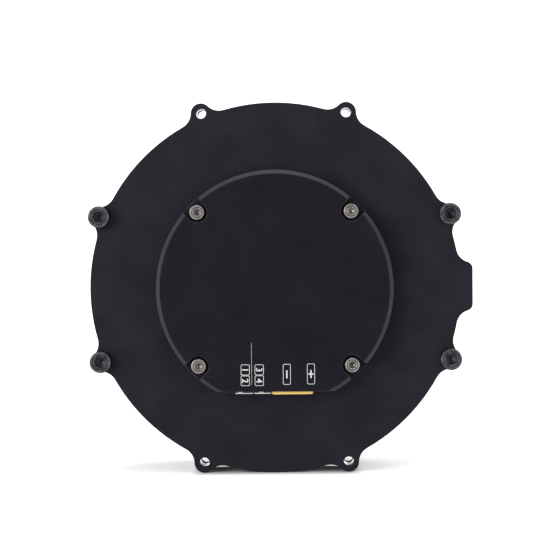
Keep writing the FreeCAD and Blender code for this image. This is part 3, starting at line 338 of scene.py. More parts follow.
def board_glow(material, place):
    """How strongly the board glows, from its distance to the object's foot and to the middle; the low glow
    under the object paints a shadow there.
    """
    split = add(material, "SeparateXYZ", links={"Vector": place})
    across = add(material, "Math", {"operation": "ABSOLUTE"}, {0: split.outputs["X"]})
    half = add(material, "MapRange", {"From Min": REAR_ENDS, "From Max": FRONT_STARTS,
                                      "To Min": PAINTED_SHADOW_HALF_REAR, "To Max": PAINTED_SHADOW_HALF_FRONT},
               {"Value": split.outputs["Y"]})
    beside = add(material, "Math", {"operation": "SUBTRACT"}, {0: across, 1: half})
    shifted = add(material, "Math", {"operation": "SUBTRACT", 1: REAR_FACE / 2}, {0: split.outputs["Y"]})
    along = add(material, "Math", {"operation": "ABSOLUTE"}, {0: shifted})
    before = add(material, "Math", {"operation": "SUBTRACT", 1: END_GAP - REAR_FACE / 2}, {0: along})
    outside = add(material, "Math", {"operation": "MAXIMUM"}, {0: beside, 1: before})
    # Painted shadow: inside the band under the object the glow stays low, and it rises over FADE beside it.
    near = add(material, "MapRange", {"From Min": 0.0, "From Max": FADE,
                                      "To Min": GLOW_IN_PAINTED_SHADOW, "To Max": GLOW_BESIDE}, {"Value": outside})
    away = add(material, "VectorMath", {"operation": "LENGTH"}, {0: place}).outputs["Value"]
    far = add(material, "MapRange", {"From Min": FAR_FROM, "From Max": FAR_TO,
                                     "To Min": 0.0, "To Max": GLOW_FAR}, {"Value": away})
    return add(material, "Math", {"operation": "ADD"}, {0: near, 1: far})


def sweep_white():
    """White board: a matt surface that glows by itself only where it is seen plainly."""
    material, shader, place = start_material("matt_white_board")
    shader.inputs["Roughness"].default_value = 0.9
    shader.inputs["Specular IOR Level"].default_value = 0.1
    shader.inputs["Emission Color"].default_value = (1, 1, 1, 1)
    fibre = add(material, "TexNoise", {"Scale": each(3.0), **SOFT}, {"Vector": place})
    white = add(material, "ValToRGB", {"stops": [(0.3, "f4f4f4"), (0.7, "fafafa")]}, {"Fac": fibre})
    glow = add(material, "Math", {"operation": "MULTIPLY"},
               {0: seen_plainly(material), 1: board_glow(material, place)})
    feed(material, shader, Base_Color=white, Emission_Strength=glow)
    return material


deselect()
bpy.ops.mesh.primitive_plane_add(size=SWEEP, location=(0, 0, FLOOR))
floor = bpy.context.object
floor.name = "white_floor"
pick_edges(floor, lambda a, b: a.y > BACK_EDGE and b.y > BACK_EDGE)
bpy.ops.mesh.extrude_region_move(TRANSFORM_OT_translate={"value": (0, 0, BACKDROP)})
pick_edges(floor, lambda a, b: a.y > BACK_EDGE and b.y > BACK_EDGE and a.z < 1.0 and b.z < 1.0)
bpy.ops.mesh.bevel(offset=CURVE, segments=12)
settle(floor, "white_sweep")
floor.data.materials.append(sweep_white())
print("sweep faces:", len(floor.data.polygons))

# %% [markdown]
# The light is plain: a soft box overhead, a wide fill from the left, a small weak lamp from
# the right and a fill for the output side. The air around is white where it is seen, and
# lights the object from all sides at half that strength.

# %% Light
def soft_box(name, place, size, watts):
    """A square or oblong lamp that faces the object."""
    deselect()
    bpy.ops.object.light_add(type="AREA", location=place)
    lamp = bpy.context.object
    lamp.name = name
    lamp.data.shape = "RECTANGLE"
    lamp.data.size, lamp.data.size_y = size
    lamp.data.energy = watts
    lamp.rotation_euler = (-Vector(place)).to_track_quat("-Z", "Y").to_euler()


soft_box("overhead_box", (0.05, -0.12, 0.95), (1.0, 0.7), 2.6)
soft_box("left_fill", (-0.7, -0.8, 0.2), (0.6, 0.5), 6.4)
soft_box("right_key", (0.62, -0.6, 0.12), (0.35, 0.35), 0.9)
soft_box("output_fill", (0.45, 0.8, 0.75), (0.7, 0.5), 5.0)

world = bpy.data.worlds.new("white_studio")
bpy.context.scene.world = world
world.use_nodes = True
world.node_tree.nodes.clear()
level = add(world, "MapRange", {"To Min": 0.5, "To Max": 1.0}, {"Value": seen_plainly(world)})
air = add(world, "Background", {"Color": (1, 1, 1, 1)}, {"Strength": level})
add(world, "OutputWorld", links={"Surface": air})

# %% [markdown]
# The cap is the same black aluminium, with its rim chamfered on a lathe after it was
# anodised. The tool leaves bare aluminium with very fine turned lines, which has gone dull
# and grey. The rim isn't a separate piece, so the finish finds it by place: further out
# than the face's edge and within the chamfer's depth of the face.

# %% Cap finish with its turned rim
CAP_FACE = -40.1 * MM
CAP_RADIUS = 30.5 * MM
CHAMFER = 1.0 * MM
EDGE_ROOM = 0.03 * MM


def find(material, kind):
    """The material's node of one kind."""
    return next(node for node in material.node_tree.nodes if node.type == kind)


def laid_over(material, mask, **sockets):
    """Lays values over what a shader already has, where the mask is 1."""
    tree, shader = material.node_tree, find(material, "BSDF_PRINCIPLED")
    for name, value in sockets.items():
        socket = shader.inputs[name.replace("_", " ")]
        kind = "RGBA" if name == "Base_Color" else "FLOAT"
        mix = add(material, "Mix", {"data_type": kind}, {"Factor": mask})
        under, over = [s for s in mix.inputs if s.enabled and s.name in "AB"]
        for end, source in ((under, socket.links[0].from_socket if socket.links else 0.0), (over, value)):
            if isinstance(source, float):
                end.default_value = source
            else:
                tree.links.new(output_of(source), end)
        tree.links.new([s for s in mix.outputs if s.enabled][0], socket)


def cap_finish():
    # The cap's edges are lightened most: partly bare metal, partly painted highlight.
    material = black_anodised("black_anodised_cap", "16151b", "1c1b22", rough=0.42, grain_mm=0.22,
                              sheen=0.04, edge_mm=0.2, edge_wear_and_highlight=1.0, bare="7a7b80")
    radius, along = from_axis(material, find(material, "TEX_COORD").outputs["Object"])
    outside = add(material, "Math", {"operation": "GREATER_THAN", 1: CAP_RADIUS - CHAMFER + EDGE_ROOM},
                  {0: radius})
    behind = add(material, "Math", {"operation": "LESS_THAN", 1: CAP_FACE + CHAMFER - EDGE_ROOM},
                 {0: along})
    rim = add(material, "Math", {"operation": "MULTIPLY"}, {0: outside, 1: behind})
    lines = add(material, "TexNoise", {"noise_dimensions": "1D", "Scale": each(0.12), "Detail": 2.0},
                {"W": radius})
    grey = add(material, "ValToRGB", {"stops": [(0.3, "37363b"), (0.7, "4b4a50")]}, {"Fac": lines})
    laid_over(material, rim, Metallic=0.9, Roughness=0.55, Base_Color=grey)
    return material


cap_black = cap_finish()
print("cap finish:", cap_black.name)

# %% [markdown]
# The open holes in the top and bottom lugs were opened to size after the parts were
# anodised, all but their two ends, so the middle of each wall is bare aluminium and catches
# the light of the backdrop, between two black rings. The holes lie at the same distance
# left, right, above and below the axis, so one mask on the distances without their signs
# finds all four.

# %% Reamed lug holes
HOLE_X, HOLE_Z, HOLE_RADIUS = 18.79 * MM, 45.36 * MM, 1.35 * MM
WALL_ROOM = 0.02 * MM
REAMED_FROM, REAMED_TO = -29.7 * MM, -24.6 * MM


def ream_holes(material):
    split = add(material, "SeparateXYZ", links={"Vector": find(material, "TEX_COORD").outputs["Object"]})
    along = split.outputs["Y"]
    offsets = {}
    for way, middle in (("X", HOLE_X), ("Z", HOLE_Z)):
        unsigned = add(material, "Math", {"operation": "ABSOLUTE"}, {0: split.outputs[way]})
        offsets[way] = add(material, "Math", {"operation": "SUBTRACT", 1: middle}, {0: unsigned})
    flat = add(material, "CombineXYZ", links=offsets)
    radius = add(material, "VectorMath", {"operation": "LENGTH"}, {0: flat}).outputs["Value"]
    inside = add(material, "Math", {"operation": "LESS_THAN", 1: HOLE_RADIUS + WALL_ROOM}, {0: radius})
    after = add(material, "Math", {"operation": "GREATER_THAN", 1: REAMED_FROM}, {0: along})
    until = add(material, "Math", {"operation": "LESS_THAN", 1: REAMED_TO}, {0: along})
    reamed = add(material, "Math", {"operation": "MULTIPLY"}, {0: after, 1: until})
    bare = add(material, "Math", {"operation": "MULTIPLY"}, {0: inside, 1: reamed})
    marks = add(material, "TexNoise", {"noise_dimensions": "1D", "Scale": each(1.2)}, {"W": along})
    bright = add(material, "ValToRGB", {"stops": [(0.35, "d6d8da"), (0.65, "fdfdfe")]}, {"Fac": marks})
    laid_over(material, bare, Metallic=1.0, Roughness=0.23, Base_Color=bright)


ream_holes(housing_black)
print("bare wall in a hole:", round((REAMED_TO - REAMED_FROM) / MM, 1), "mm")

# %% [markdown]
# Metals reflect with their own colour, so each starts from metallic 1 and the colour of the
# bare metal, keeps the default IOR, and differs by how its surface was made: turned lines
# round an axis, ground or plated. Turned lines are a one-way noise over the distance from
# the axis and the place along it, drawn 0.12 to 0.45 mm apart so that they show.

# %% Metals
def metal(name, dark, light, rough, grain_mm=0.4, turned=False, bump=0.12, drift_mm=6.0):
    material, shader, place = start_material(name)
    shader.inputs["Metallic"].default_value = 1.0
    drift = add(material, "TexNoise", {"Scale": each(drift_mm), **SOFT}, {"Vector": place})
    if turned:
        radius, along = from_axis(material, place)
        lines = add(material, "Math", {"operation": "ADD"}, {0: radius, 1: along})
        grain = add(material, "TexNoise", {"noise_dimensions": "1D", "Scale": each(grain_mm), "Detail": 2.0},
                    {"W": lines})
    else:
        grain = add(material, "TexNoise", {"Scale": each(grain_mm), "Detail": 3.0, "Roughness": 0.65},
                    {"Vector": place})
    share = 0.2 if turned else 0.5
    colour = add(material, "ValToRGB", {"stops": [(0.36, dark), (0.64, light)]},
                 {"Fac": added_up(material, drift, share, grain, 1.0 - share)})
    soft_edge = add(material, "Bevel", {"samples": 4, "Radius": 0.08 * MM})
    normal = add(material, "Bump", {"Strength": bump, "Distance": 0.01 * MM},
                 {"Height": grain, "Normal": soft_edge})
    roughness = add(material, "MapRange", {**SPREAD, "To Min": rough - 0.05, "To Max": rough + 0.08},
                    {"Value": grain})
    feed(material, shader, Base_Color=colour, Normal=normal, Roughness=roughness)
    return material


METALS = {
    "black_screw": metal("black_oxide_steel", "2c2c30", "5c5c61", 0.37, 0.3, bump=0.3, drift_mm=1.0),
    "steel_screw": metal("stainless_steel", "65615f", "97928f", 0.28, 0.2, bump=0.1, drift_mm=1.0),
    "gear_steel": metal("case_hardened_steel", "7b7c80", "9c9da1", 0.3, 0.3),
    "bearing_steel": metal("ground_bearing_steel", "9a9b9f", "bdbec2", 0.16, 0.12, turned=True, bump=0.06),
    "output_aluminium": metal("clear_anodised_aluminium", "8f9196", "bdbfc4", 0.34, 0.45, turned=True,
                              bump=0.3),
    "rotor_aluminium": metal("turned_aluminium", "a2a4a8", "cbccd0", 0.27, 0.4, turned=True, bump=0.25),
    "flux_steel": metal("zinc_plated_steel", "85888e", "a9acb2", 0.33, 0.5, bump=0.1),
    "magnet_nickel": metal("nickel_plating", "a8a49c", "c6c2ba", 0.18, 0.9, bump=0.05),
    "bush_bronze": metal("sintered_bronze", "7e5a34", "a47a4b", 0.45, 0.2, bump=0.3),
    "gold_contact": metal("gold_plating", "b98f3e", "dcb362", 0.2, 0.5, bump=0.05),
    "capacitor_can": metal("drawn_aluminium_can", "a4a6aa", "c4c6ca", 0.3, 0.4),
}
# Darker colours for the walls of the hexagon sockets: painted shade.
SHADED_RECESSES = {
    "black_screw": metal("black_oxide_painted_shade", "17171a", "323236", 0.3, 0.2, bump=0.2),
    "steel_screw": metal("stainless_steel_painted_shade", "3d3a39", "66615f", 0.22, 0.2, bump=0.2),
}
print("metals:", len(METALS))

# %% [markdown]
# The socket housings are moulded nylon: it lets a little light in, so it takes some
# subsurface scattering, and its mould was spark eroded, which leaves a fine orange peel.
# Chips are black epoxy and the leads have silicone sleeves, both plain and matt.

# %% Plastics
def nylon(name, dark, light, rough, scatter):
    material, shader, place = start_material(name)
    peel = add(material, "TexNoise", {"Scale": each(0.35), **SOFT}, {"Vector": place})
    tone = add(material, "TexNoise", {"Scale": each(2.5), **SOFT}, {"Vector": place})
    colour = add(material, "ValToRGB", {"stops": [(0.3, dark), (0.7, light)]}, {"Fac": tone})
    soft_edge = add(material, "Bevel", {"samples": 4, "Radius": 0.12 * MM})
    bump = add(material, "Bump", {"Strength": 0.15, "Distance": 0.02 * MM},
               {"Height": peel, "Normal": soft_edge})
    roughness = add(material, "MapRange", {**SPREAD, "To Min": rough - 0.04, "To Max": rough + 0.08},
                    {"Value": peel})
    shader.inputs["IOR"].default_value = 1.53
    shader.inputs["Subsurface Weight"].default_value = scatter
    shader.inputs["Subsurface Radius"].default_value = (0.6 * MM, 0.45 * MM, 0.25 * MM)
    shader.inputs["Subsurface Scale"].default_value = 1.0
    feed(material, shader, Base_Color=colour, Roughness=roughness, Normal=bump)
    return material


def matt_moulding(name, dark, light, rough, grain_mm, sheen=0.5):
    material, shader, place = start_material(name)
    grain = add(material, "TexNoise", {"Scale": each(grain_mm), **FINE}, {"Vector": place})
    colour = add(material, "ValToRGB", {"stops": [(0.3, dark), (0.7, light)]}, {"Fac": grain})
    bump = add(material, "Bump", {"Strength": 0.3, "Distance": 0.02 * MM}, {"Height": grain})
    roughness = add(material, "MapRange", {**SPREAD, "To Min": rough - 0.06, "To Max": rough + 0.08},
                    {"Value": grain})
    shader.inputs["Specular IOR Level"].default_value = sheen
    feed(material, shader, Base_Color=colour, Roughness=roughness, Normal=bump)
    return material


PLASTICS = {
    "yellow_nylon": nylon("yellow_nylon", "ffd268", "ffe089", 0.42, 0.15),
    "white_nylon": nylon("white_nylon", "fafaf8", "ffffff", 0.45, 0.08),
    "lead_sleeve": matt_moulding("silicone_sleeve", "1c1c1e", "29292c", 0.6, 0.4),
    "chip_black": matt_moulding("moulded_epoxy", "151517", "212124", 0.55, 0.15),
}
print("plastics:", len(PLASTICS))

# %% [markdown]
# The board is green resist over copper tracks, which stand up a little under it. The
# stator's core is a stack of 0.35 mm steel sheets and its coils are red-brown enamelled wire
# of 0.5 mm. Both are drawn as stripes, at twice their real pitch so that they show.

# %% Board, core and coils
def layered(name, dark, light, rough, pitch_mm, direction, metallic, depth_mm):
    """Stripes along the axis for stacked sheets, or across it for turns of wire."""
    material, shader, place = start_material(name)
    shader.inputs["Metallic"].default_value = metallic
    stripes = add(material, "TexWave",
                  {"bands_direction": direction, "wave_profile": "SIN", "Distortion": 0.4, "Detail": 1.0,
                   "Scale": each(2 * pitch_mm) * math.tau / 20}, {"Vector": place}).outputs["Fac"]
    tone = add(material, "TexNoise", {"Scale": each(1.5), **SOFT}, {"Vector": place})
    colour = add(material, "ValToRGB", {"stops": [(0.2, dark), (0.8, light)]},
                 {"Fac": added_up(material, stripes, 0.6, tone, 0.4)})
    bump = add(material, "Bump", {"Strength": 0.5, "Distance": depth_mm * MM}, {"Height": stripes})
    roughness = add(material, "MapRange", {**SPREAD, "To Min": rough - 0.05, "To Max": rough + 0.08},
                    {"Value": tone})
    feed(material, shader, Base_Color=colour, Roughness=roughness, Normal=bump)
    return material


def board_finish():
    material, shader, place = start_material("green_solder_resist")
    tracks = add(material, "TexVoronoi",
                 {"feature": "DISTANCE_TO_EDGE", "distance": "MANHATTAN", "Scale": each(2.2)},
                 {"Vector": place})
    tone = add(material, "TexNoise", {"Scale": each(4.0), **SOFT}, {"Vector": place})
    raised = add(material, "MapRange", {"From Min": 0.03, "From Max": 0.07, "To Min": 1.0, "To Max": 0.0},
                 {"Value": tracks})
    colour = add(material, "ValToRGB", {"stops": [(0.1, "0f3b26"), (0.9, "1f6b43")]},
                 {"Fac": added_up(material, raised, 0.5, tone, 0.4)})
    bump = add(material, "Bump", {"Strength": 0.4, "Distance": 0.035 * MM}, {"Height": raised})
    roughness = add(material, "MapRange", {**SPREAD, "To Min": 0.28, "To Max": 0.4}, {"Value": tone})
    shader.inputs["Coat Weight"].default_value = 0.4
    feed(material, shader, Base_Color=colour, Roughness=roughness, Normal=bump)
    return material


FINISHES = {
    **METALS,
    **PLASTICS,
    "housing_black": housing_black,
    "cap_black": cap_black,
    "circuit_board": board_finish(),
    "lamination_steel": layered("stacked_steel_sheets", "4c4d52", "85868b", rough=0.45, pitch_mm=0.35,
                                direction="Y", metallic=0.9, depth_mm=0.04),
    "enamelled_copper": layered("enamelled_copper_wire", "6d2c13", "b5592c", rough=0.3, pitch_mm=0.5,
                                direction="Z", metallic=0.6, depth_mm=0.2),
}
print("finishes:", len(FINISHES))

# %% [markdown]
# Where a solid from the frame already has the right shape, it only needs its finish. Its
# mesh stays as it is, and the material goes into its slot.

# %% Finishes for the carried-over solids
WEARS = {
    "housing_black": ["rear_housing", "front_housing", "bearing_retainer"],
    "cap_black": ["controller_cap"],
    "circuit_board": ["driver_board"],
    "black_screw": ["housing_screws", "retainer_screws"],
    "steel_screw": ["cap_screws", "carrier_screws"],
    "yellow_nylon": ["power_connector"],
    "white_nylon": ["signal_connectors"],
    "gold_contact": ["power_pins", "signal_pins"],
    "chip_black": ["power_transistors", "control_chip", "encoder_chips"],
    "capacitor_can": ["capacitors"],
    "lamination_steel": ["stator_core"],
    "enamelled_copper": ["windings"],
    "lead_sleeve": ["phase_leads"],
    "gear_steel": ["ring_gear", "planet_gear_1", "planet_gear_2", "planet_gear_3", "sun_shaft",
                   "planet_pins", "encoder_rod"],
    "bearing_steel": ["output_bearing_outer", "output_bearing_inner", "rotor_bearing_outer",
                      "rotor_bearing_inner", "sun_bearing_outer", "sun_bearing_inner"],
    "output_aluminium": ["output_carrier", "carrier_plate"],
    "rotor_aluminium": ["rotor_hub"],
    "flux_steel": ["flux_ring"],
    "magnet_nickel": ["magnets", "output_encoder_magnet", "motor_encoder_magnet"],
    "bush_bronze": ["planet_bush_1", "planet_bush_2", "planet_bush_3"],
}
for finish, names in WEARS.items():
    for name in names:
        node = NODES[name]
        node.data.materials.clear()
        node.data.materials.append(FINISHES[finish])
dressed = {name for names in WEARS.values() for name in names}
print("nodes without a finish:", sorted(set(NODES) - dressed))

# %% [markdown]
# A socket-cap screw is cold headed: a round head with a straight knurl for the fingers, a
# small bevel and a fine ring groove round its top, and a hexagon pressed into it. The knurl
# is every other edge of a many-sided cylinder drawn inwards, and the groove is a ring of
# points on the top that is pushed in. The hexagon is cut with a six-sided bar whose end is
# a shallow cone, which is what the punch leaves, and a flat cone opens its mouth.

# %% A socket-cap screw
UPRIGHT = (math.pi / 2, 0, 0)
# Shares of the head's radius, except for the bevel, a share of its height
BEVEL, RIM, HALF_GROOVE, KNURL = 0.1, 0.14, 0.07, 0.955
KNURL_ROOM = 0.15 * MM
# Shares of the shank's radius
TIP, TIP_TAPER = 0.4, 0.72
# Shares of the hexagon's corner radius, with the mouth's wide end just clear of the head
PUNCH_CONE, PUNCH_END = 0.35, 0.05
MOUTH_WIDE, MOUTH_NARROW, MOUTH_DEPTH, MOUTH_MIDDLE = 1.14, 0.8, 0.34, 0.165


def off_axis(at):
    """Distance of a place from the Y axis."""
    return Vector((at.x, at.z)).length


def round_head(name, head, height, sides, ring_depth):
    """A head along Y with its seat at y = 0, bevelled and grooved on its top at minus Y."""
    deselect()
    bpy.ops.mesh.primitive_cylinder_add(vertices=sides, radius=head, depth=height,
                                        location=(0, -height / 2, 0), rotation=UPRIGHT)
    screw = settle(bpy.context.object, name)
    bevel, rim, half_groove = BEVEL * height, RIM * head, HALF_GROOVE * head
    pick_faces(screw, lambda centre, normal: normal.y < -0.9)
    bpy.ops.mesh.bevel(offset=bevel, segments=3, affect="EDGES")
    pick_faces(screw, lambda centre, normal: normal.y < -0.99 and off_axis(centre) < 0.01 * MM)
    for thickness in (rim, half_groove, half_groove):
        bpy.ops.mesh.inset(thickness=thickness)
    low = head - bevel - rim - half_groove
    pick_vertices(screw, lambda at: at.y < -height * 0.99 and abs(off_axis(at) - low) < 0.01 * head)
    bpy.ops.transform.translate(value=(0, ring_depth, 0))
    return screw


def knurl(screw, head, sides):
    """Draws every other edge of the head's side inwards."""
    def groove(at):
        number = round(math.atan2(at.z, at.x) / (math.tau / sides))
        return number % 2 == 1 and off_axis(at) > head * 0.97

    pick_vertices(screw, groove)
    bpy.ops.transform.resize(value=(KNURL, 1, KNURL), center_override=(0, 0, 0))


def draw_shank(screw, head, shank, length):
    """Draws the shank out of the head's seat, with a tapered tip."""
    tip = TIP * shank
    pick_faces(screw, lambda centre, normal: normal.y > 0.9)
    bpy.ops.mesh.inset(thickness=head - shank - KNURL_ROOM)
    bpy.ops.mesh.extrude_region_move(TRANSFORM_OT_translate={"value": (0, length - tip, 0)})
    bpy.ops.mesh.extrude_region_move(TRANSFORM_OT_translate={"value": (0, tip, 0)})
    bpy.ops.transform.resize(value=(TIP_TAPER, 1, TIP_TAPER), center_override=(0, length, 0))


def press_socket(screw, height, across_flats, socket_depth):
    """Cuts the hexagon with its shallow cone, then its mouth."""
    corner = across_flats / 2 / math.cos(math.pi / 6)
    deselect()
    bpy.ops.mesh.primitive_cylinder_add(vertices=6, radius=corner, depth=height, rotation=UPRIGHT,
                                        location=(0, socket_depth - height - height / 2, 0))
    punch = settle(bpy.context.object, "hex_punch")
    pick_faces(punch, lambda centre, normal: normal.y > 0.9)
    bpy.ops.mesh.extrude_region_move(TRANSFORM_OT_translate={"value": (0, corner * PUNCH_CONE, 0)})
    bpy.ops.transform.resize(value=(PUNCH_END, 1, PUNCH_END), center_override=(0, 0, 0))
    cut_out(screw, punch)
    deselect()
    bpy.ops.mesh.primitive_cone_add(vertices=36, radius1=corner * MOUTH_WIDE, radius2=corner * MOUTH_NARROW,
                                    depth=corner * MOUTH_DEPTH, rotation=(-math.pi / 2, 0, 0),
                                    location=(0, corner * MOUTH_MIDDLE - height, 0))
    cut_out(screw, settle(bpy.context.object, "mouth_cone"))


def socket_screw(name, head, height, shank, length, across_flats, socket_depth, ridges, ring_depth):
    """One screw along Y with its head's seat at y = 0 and the head towards minus Y."""
    screw = round_head(name, head, height, ridges * 2, ring_depth)
    knurl(screw, head, ridges * 2)
    draw_shank(screw, head, shank, length)
    press_socket(screw, height, across_flats, socket_depth)
    return settle(screw, name)


m3_screw = socket_screw("m3_screw_model", head=2.85 * MM, height=3.0 * MM, shank=1.45 * MM,
                        length=19.9 * MM, across_flats=2.5 * MM, socket_depth=1.9 * MM, ridges=40,
                        ring_depth=0.18 * MM)
m2_screw = socket_screw("m2_screw_model", head=1.93 * MM, height=2.0 * MM, shank=0.96 * MM,
                        length=7.9 * MM, across_flats=1.5 * MM, socket_depth=1.3 * MM, ridges=32,
                        ring_depth=0.22 * MM)
print("faces of an M3 screw:", len(m3_screw.data.polygons))

# %% [markdown]
# Four of the larger screws hold the two housing halves together in the left and right lugs,
# and four of the smaller ones hold the cap. Six with low heads hold the bearing's retainer
# on the output side, so they face the other way. Each is a copy of its model and stops at
# an angle of its own, as a driver leaves it. The hexagon's walls get a darker colour:
# painted shade for the little light that reaches into the socket.

# %% Screws in the lugs, the cap and the retainer
LUG_PITCH = 49.1 * MM
CAP_SCREW_PITCH = 27.9 * MM
CAP_SCREW_SEAT = -38.1 * MM
TURN_EACH = 17.0


def set_screws(model, name, pitch, seat, angles, finish, node, socket, facing=0.0):
    """Copies a model round a circle, with painted shade on the faces within the socket's radius."""
    top = min(vertex.co.y for vertex in model.data.vertices)
    for number, angle in enumerate(angles, start=1):
        turn = math.radians(angle)
        screw = copy_piece(model, f"{name}_{number}")
        inside = [face.index for face in screw.data.polygons
                  if off_axis(face.center) < socket and top * 0.9 < face.center.y < -0.05 * MM]
        only(screw)
        screw.rotation_euler = (0, math.radians(TURN_EACH * number), facing)
        bpy.ops.object.transform_apply(location=False, rotation=True, scale=False)
        screw.location = (pitch * math.cos(turn), seat, pitch * math.sin(turn))
        settle(screw, f"{name}_{number}")
        finish_as(screw, FINISHES[finish], node=node)
        screw.data.materials.append(SHADED_RECESSES[finish])
        for index in inside:
            screw.data.polygons[index].material_index = 1
    bpy.data.objects.remove(model)


set_screws(m3_screw, "lug_screw", LUG_PITCH, REAR_FACE, [22.5, 157.5, 202.5, 337.5],
           "black_screw", "housing_screws", socket=1.46 * MM)
set_screws(m2_screw, "cap_screw", CAP_SCREW_PITCH, CAP_SCREW_SEAT, [45, 135, 225, 315],
           "steel_screw", "cap_screws", socket=0.82 * MM)

LOW_HEAD, LOW_HEIGHT = 1.9 * MM, 1.0 * MM
low_head = socket_screw("low_head_screw_model", head=LOW_HEAD, height=LOW_HEIGHT, shank=0.96 * MM,
                        length=4.0 * MM, across_flats=1.3 * MM, socket_depth=0.7 * MM, ridges=30,
                        ring_depth=0.05 * MM)
_, retainer_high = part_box("retainer_screws")
retainer_pitch = retainer_high.x - LOW_HEAD
retainer_seat = retainer_high.y - LOW_HEIGHT
set_screws(low_head, "retainer_screw", retainer_pitch, retainer_seat, range(0, 360, 60),
           "black_screw", "retainer_screws", socket=0.74 * MM, facing=math.pi)
print("retainer screws: circle radius", round(retainer_pitch / MM, 2),
      "mm, seat", round(retainer_seat / MM, 2))

# %% [markdown]
# Two kinds of socket stand on the board with their mouths at the cap's flat. The yellow
# one takes the supply: a thick-walled shell with two round contacts, three ribs on each
# side, and its two rear corners rounded so that the plug goes in one way only. The two
# white ones take thin signal plugs. Each has a window in its rear wall that leaves a narrow
# lip at the mouth and a short rib across it. Behind the window sits a near-black plate
# with a raised bead: painted shade, a dark sheet that makes the window read as a dark slot.
# Each shell starts as a block whose mouth face is inset and pushed in, as the mould's core
# would leave it.

# %% Helpers for socket shells
MOUTH_ROUNDING = 0.09 * MM


def socket_shell(name, left, right, near, far, mouth, depth, wall, cavity, radius):
    """A shell open downwards, between x left to right and y near (board) to far (rear)."""
    deselect()
    bpy.ops.mesh.primitive_cube_add(size=1.0,
                                    location=((left + right) / 2, (near + far) / 2, mouth + depth / 2))
    shell = bpy.context.object
    shell.scale = (right - left, abs(far - near), depth)
    settle(shell, name)
    pick_faces(shell, lambda centre, normal: normal.z < -0.9)
    bpy.ops.mesh.inset(thickness=wall)
    bpy.ops.mesh.extrude_region_move(TRANSFORM_OT_translate={"value": (0, 0, cavity)})
    pick_edges(shell, lambda a, b: abs(a.z - b.z) > depth * 0.9 and a.y < (near + far) / 2)
    bpy.ops.mesh.bevel(offset=radius, segments=4)
    pick_faces(shell, lambda centre, normal: normal.z < -0.9 and centre.z < mouth + 0.01 * MM)
    bpy.ops.mesh.bevel(offset=MOUTH_ROUNDING, segments=2, affect="EDGES")
    bpy.ops.object.mode_set(mode="OBJECT")
    return shell


def add_block(shell, centre, size, rounding):
    """Joins a small rounded block to a shell, for a rib."""
    deselect()
    bpy.ops.mesh.primitive_cube_add(size=1.0, location=centre)
    block = bpy.context.object
    block.scale = size
    settle(block, "rib")
    pick_faces(block, lambda centre, normal: True)
    bpy.ops.mesh.bevel(offset=rounding, segments=2, affect="EDGES")
    deselect()
    block.select_set(True)
    shell.select_set(True)
    bpy.context.view_layer.objects.active = shell
    bpy.ops.object.join()


# %% [markdown]
# The yellow socket's shell takes its size from the frame's block, which it replaces. The
# ribs are small rounded blocks, joined on to either side one above the other.

# %% The yellow supply socket
MOUTH_BACK, SUPPLY_WALL, SUPPLY_CAVITY, SUPPLY_CORNER = 0.08 * MM, 0.8 * MM, 7.0 * MM, 0.9 * MM
RIB_SIZE, RIB_ROUNDING = (0.12 * MM, 2.6 * MM, 0.7 * MM), 0.04 * MM
RIB_OUT, RIB_FORWARD = 5.27 * MM, 2.6 * MM
RIB_UP, RIB_PITCH = 3.6, 1.6

power_low, power_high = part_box("power_connector")
supply_mouth = power_low.z + MOUTH_BACK
power = socket_shell("power_socket", power_low.x, power_high.x, power_high.y, power_low.y, supply_mouth,
                     power_high.z - supply_mouth, SUPPLY_WALL, SUPPLY_CAVITY, SUPPLY_CORNER)
middle = (power_low.x + power_high.x) / 2
for side in (-1, 1):
    for rib in range(3):
        height = power_low.z + (RIB_UP + rib * RIB_PITCH) * MM
        place = (middle + side * RIB_OUT, power_low.y + RIB_FORWARD, height)
        add_block(power, place, RIB_SIZE, RIB_ROUNDING)
settle(power, "power_socket")
finish_as(power, FINISHES["yellow_nylon"], node="power_connector")
print("power socket faces:", len(power.data.polygons))

# %% [markdown]
# The plate behind each window is painted shade: a near-black, dull sheet standing for the
# shade inside the socket, so that the window reads as a dark slot. Its bead is the plate's
# own face, inset and drawn out.

# %% The two white signal sockets
# The middle of each socket and of its rib, in millimetres
SIGNAL_SOCKETS = ((-8.2, -9.1), (-3.4, -3.75))
HALF_WIDTH, MOUTH_OUT, LIP = 2.25, 0.07 * MM, 0.27 * MM
WINDOW_WIDTH, WINDOW_DEPTH, WINDOW = 4.6 * MM, 1.4 * MM, 1.4 * MM
SIGNAL_WALL, SIGNAL_CAVITY, SIGNAL_CORNER = 0.38 * MM, 5.7 * MM, 0.2 * MM
LATCH_RIB_SIZE, LATCH_RIB_ROUNDING = (1.15 * MM, 0.6 * MM, 1.6 * MM), 0.05 * MM
LATCH_RIB_FORWARD, LATCH_RIB_UP = 0.3 * MM, 0.98 * MM
PLATE_WIDTH, PLATE_THICKNESS, PLATE_FORWARD = 4.42 * MM, 0.3 * MM, 0.5 * MM
BEAD_MARGIN, BEAD_HEIGHT, PLATE_ROUNDING = 0.25 * MM, 0.1 * MM, 0.04 * MM
# Near-black and dull: painted shade for the inside of the socket.
SHADE_BLACK = matt_moulding("painted_shade_black", "060606", "0d0d0e", 0.75, 0.3, sheen=0.15)


def shade_plate(name, x, near, low):
    """The near-black plate just behind a socket's window, with its raised bead: painted shade for the
    window.
    """
    deselect()
    bpy.ops.mesh.primitive_cube_add(size=1.0, location=(x, near + PLATE_THICKNESS / 2, low + WINDOW / 2))
    plate = bpy.context.object
    plate.scale = (PLATE_WIDTH, PLATE_THICKNESS, WINDOW)
    settle(plate, name)
    pick_faces(plate, lambda centre, normal: normal.y < -0.9)
    bpy.ops.mesh.inset(thickness=BEAD_MARGIN)
    bpy.ops.mesh.extrude_region_move(TRANSFORM_OT_translate={"value": (0, -BEAD_HEIGHT, 0)})
    pick_faces(plate, lambda centre, normal: True)
    bpy.ops.mesh.bevel(offset=PLATE_ROUNDING, segments=2, affect="EDGES")
    return settle(plate, name)


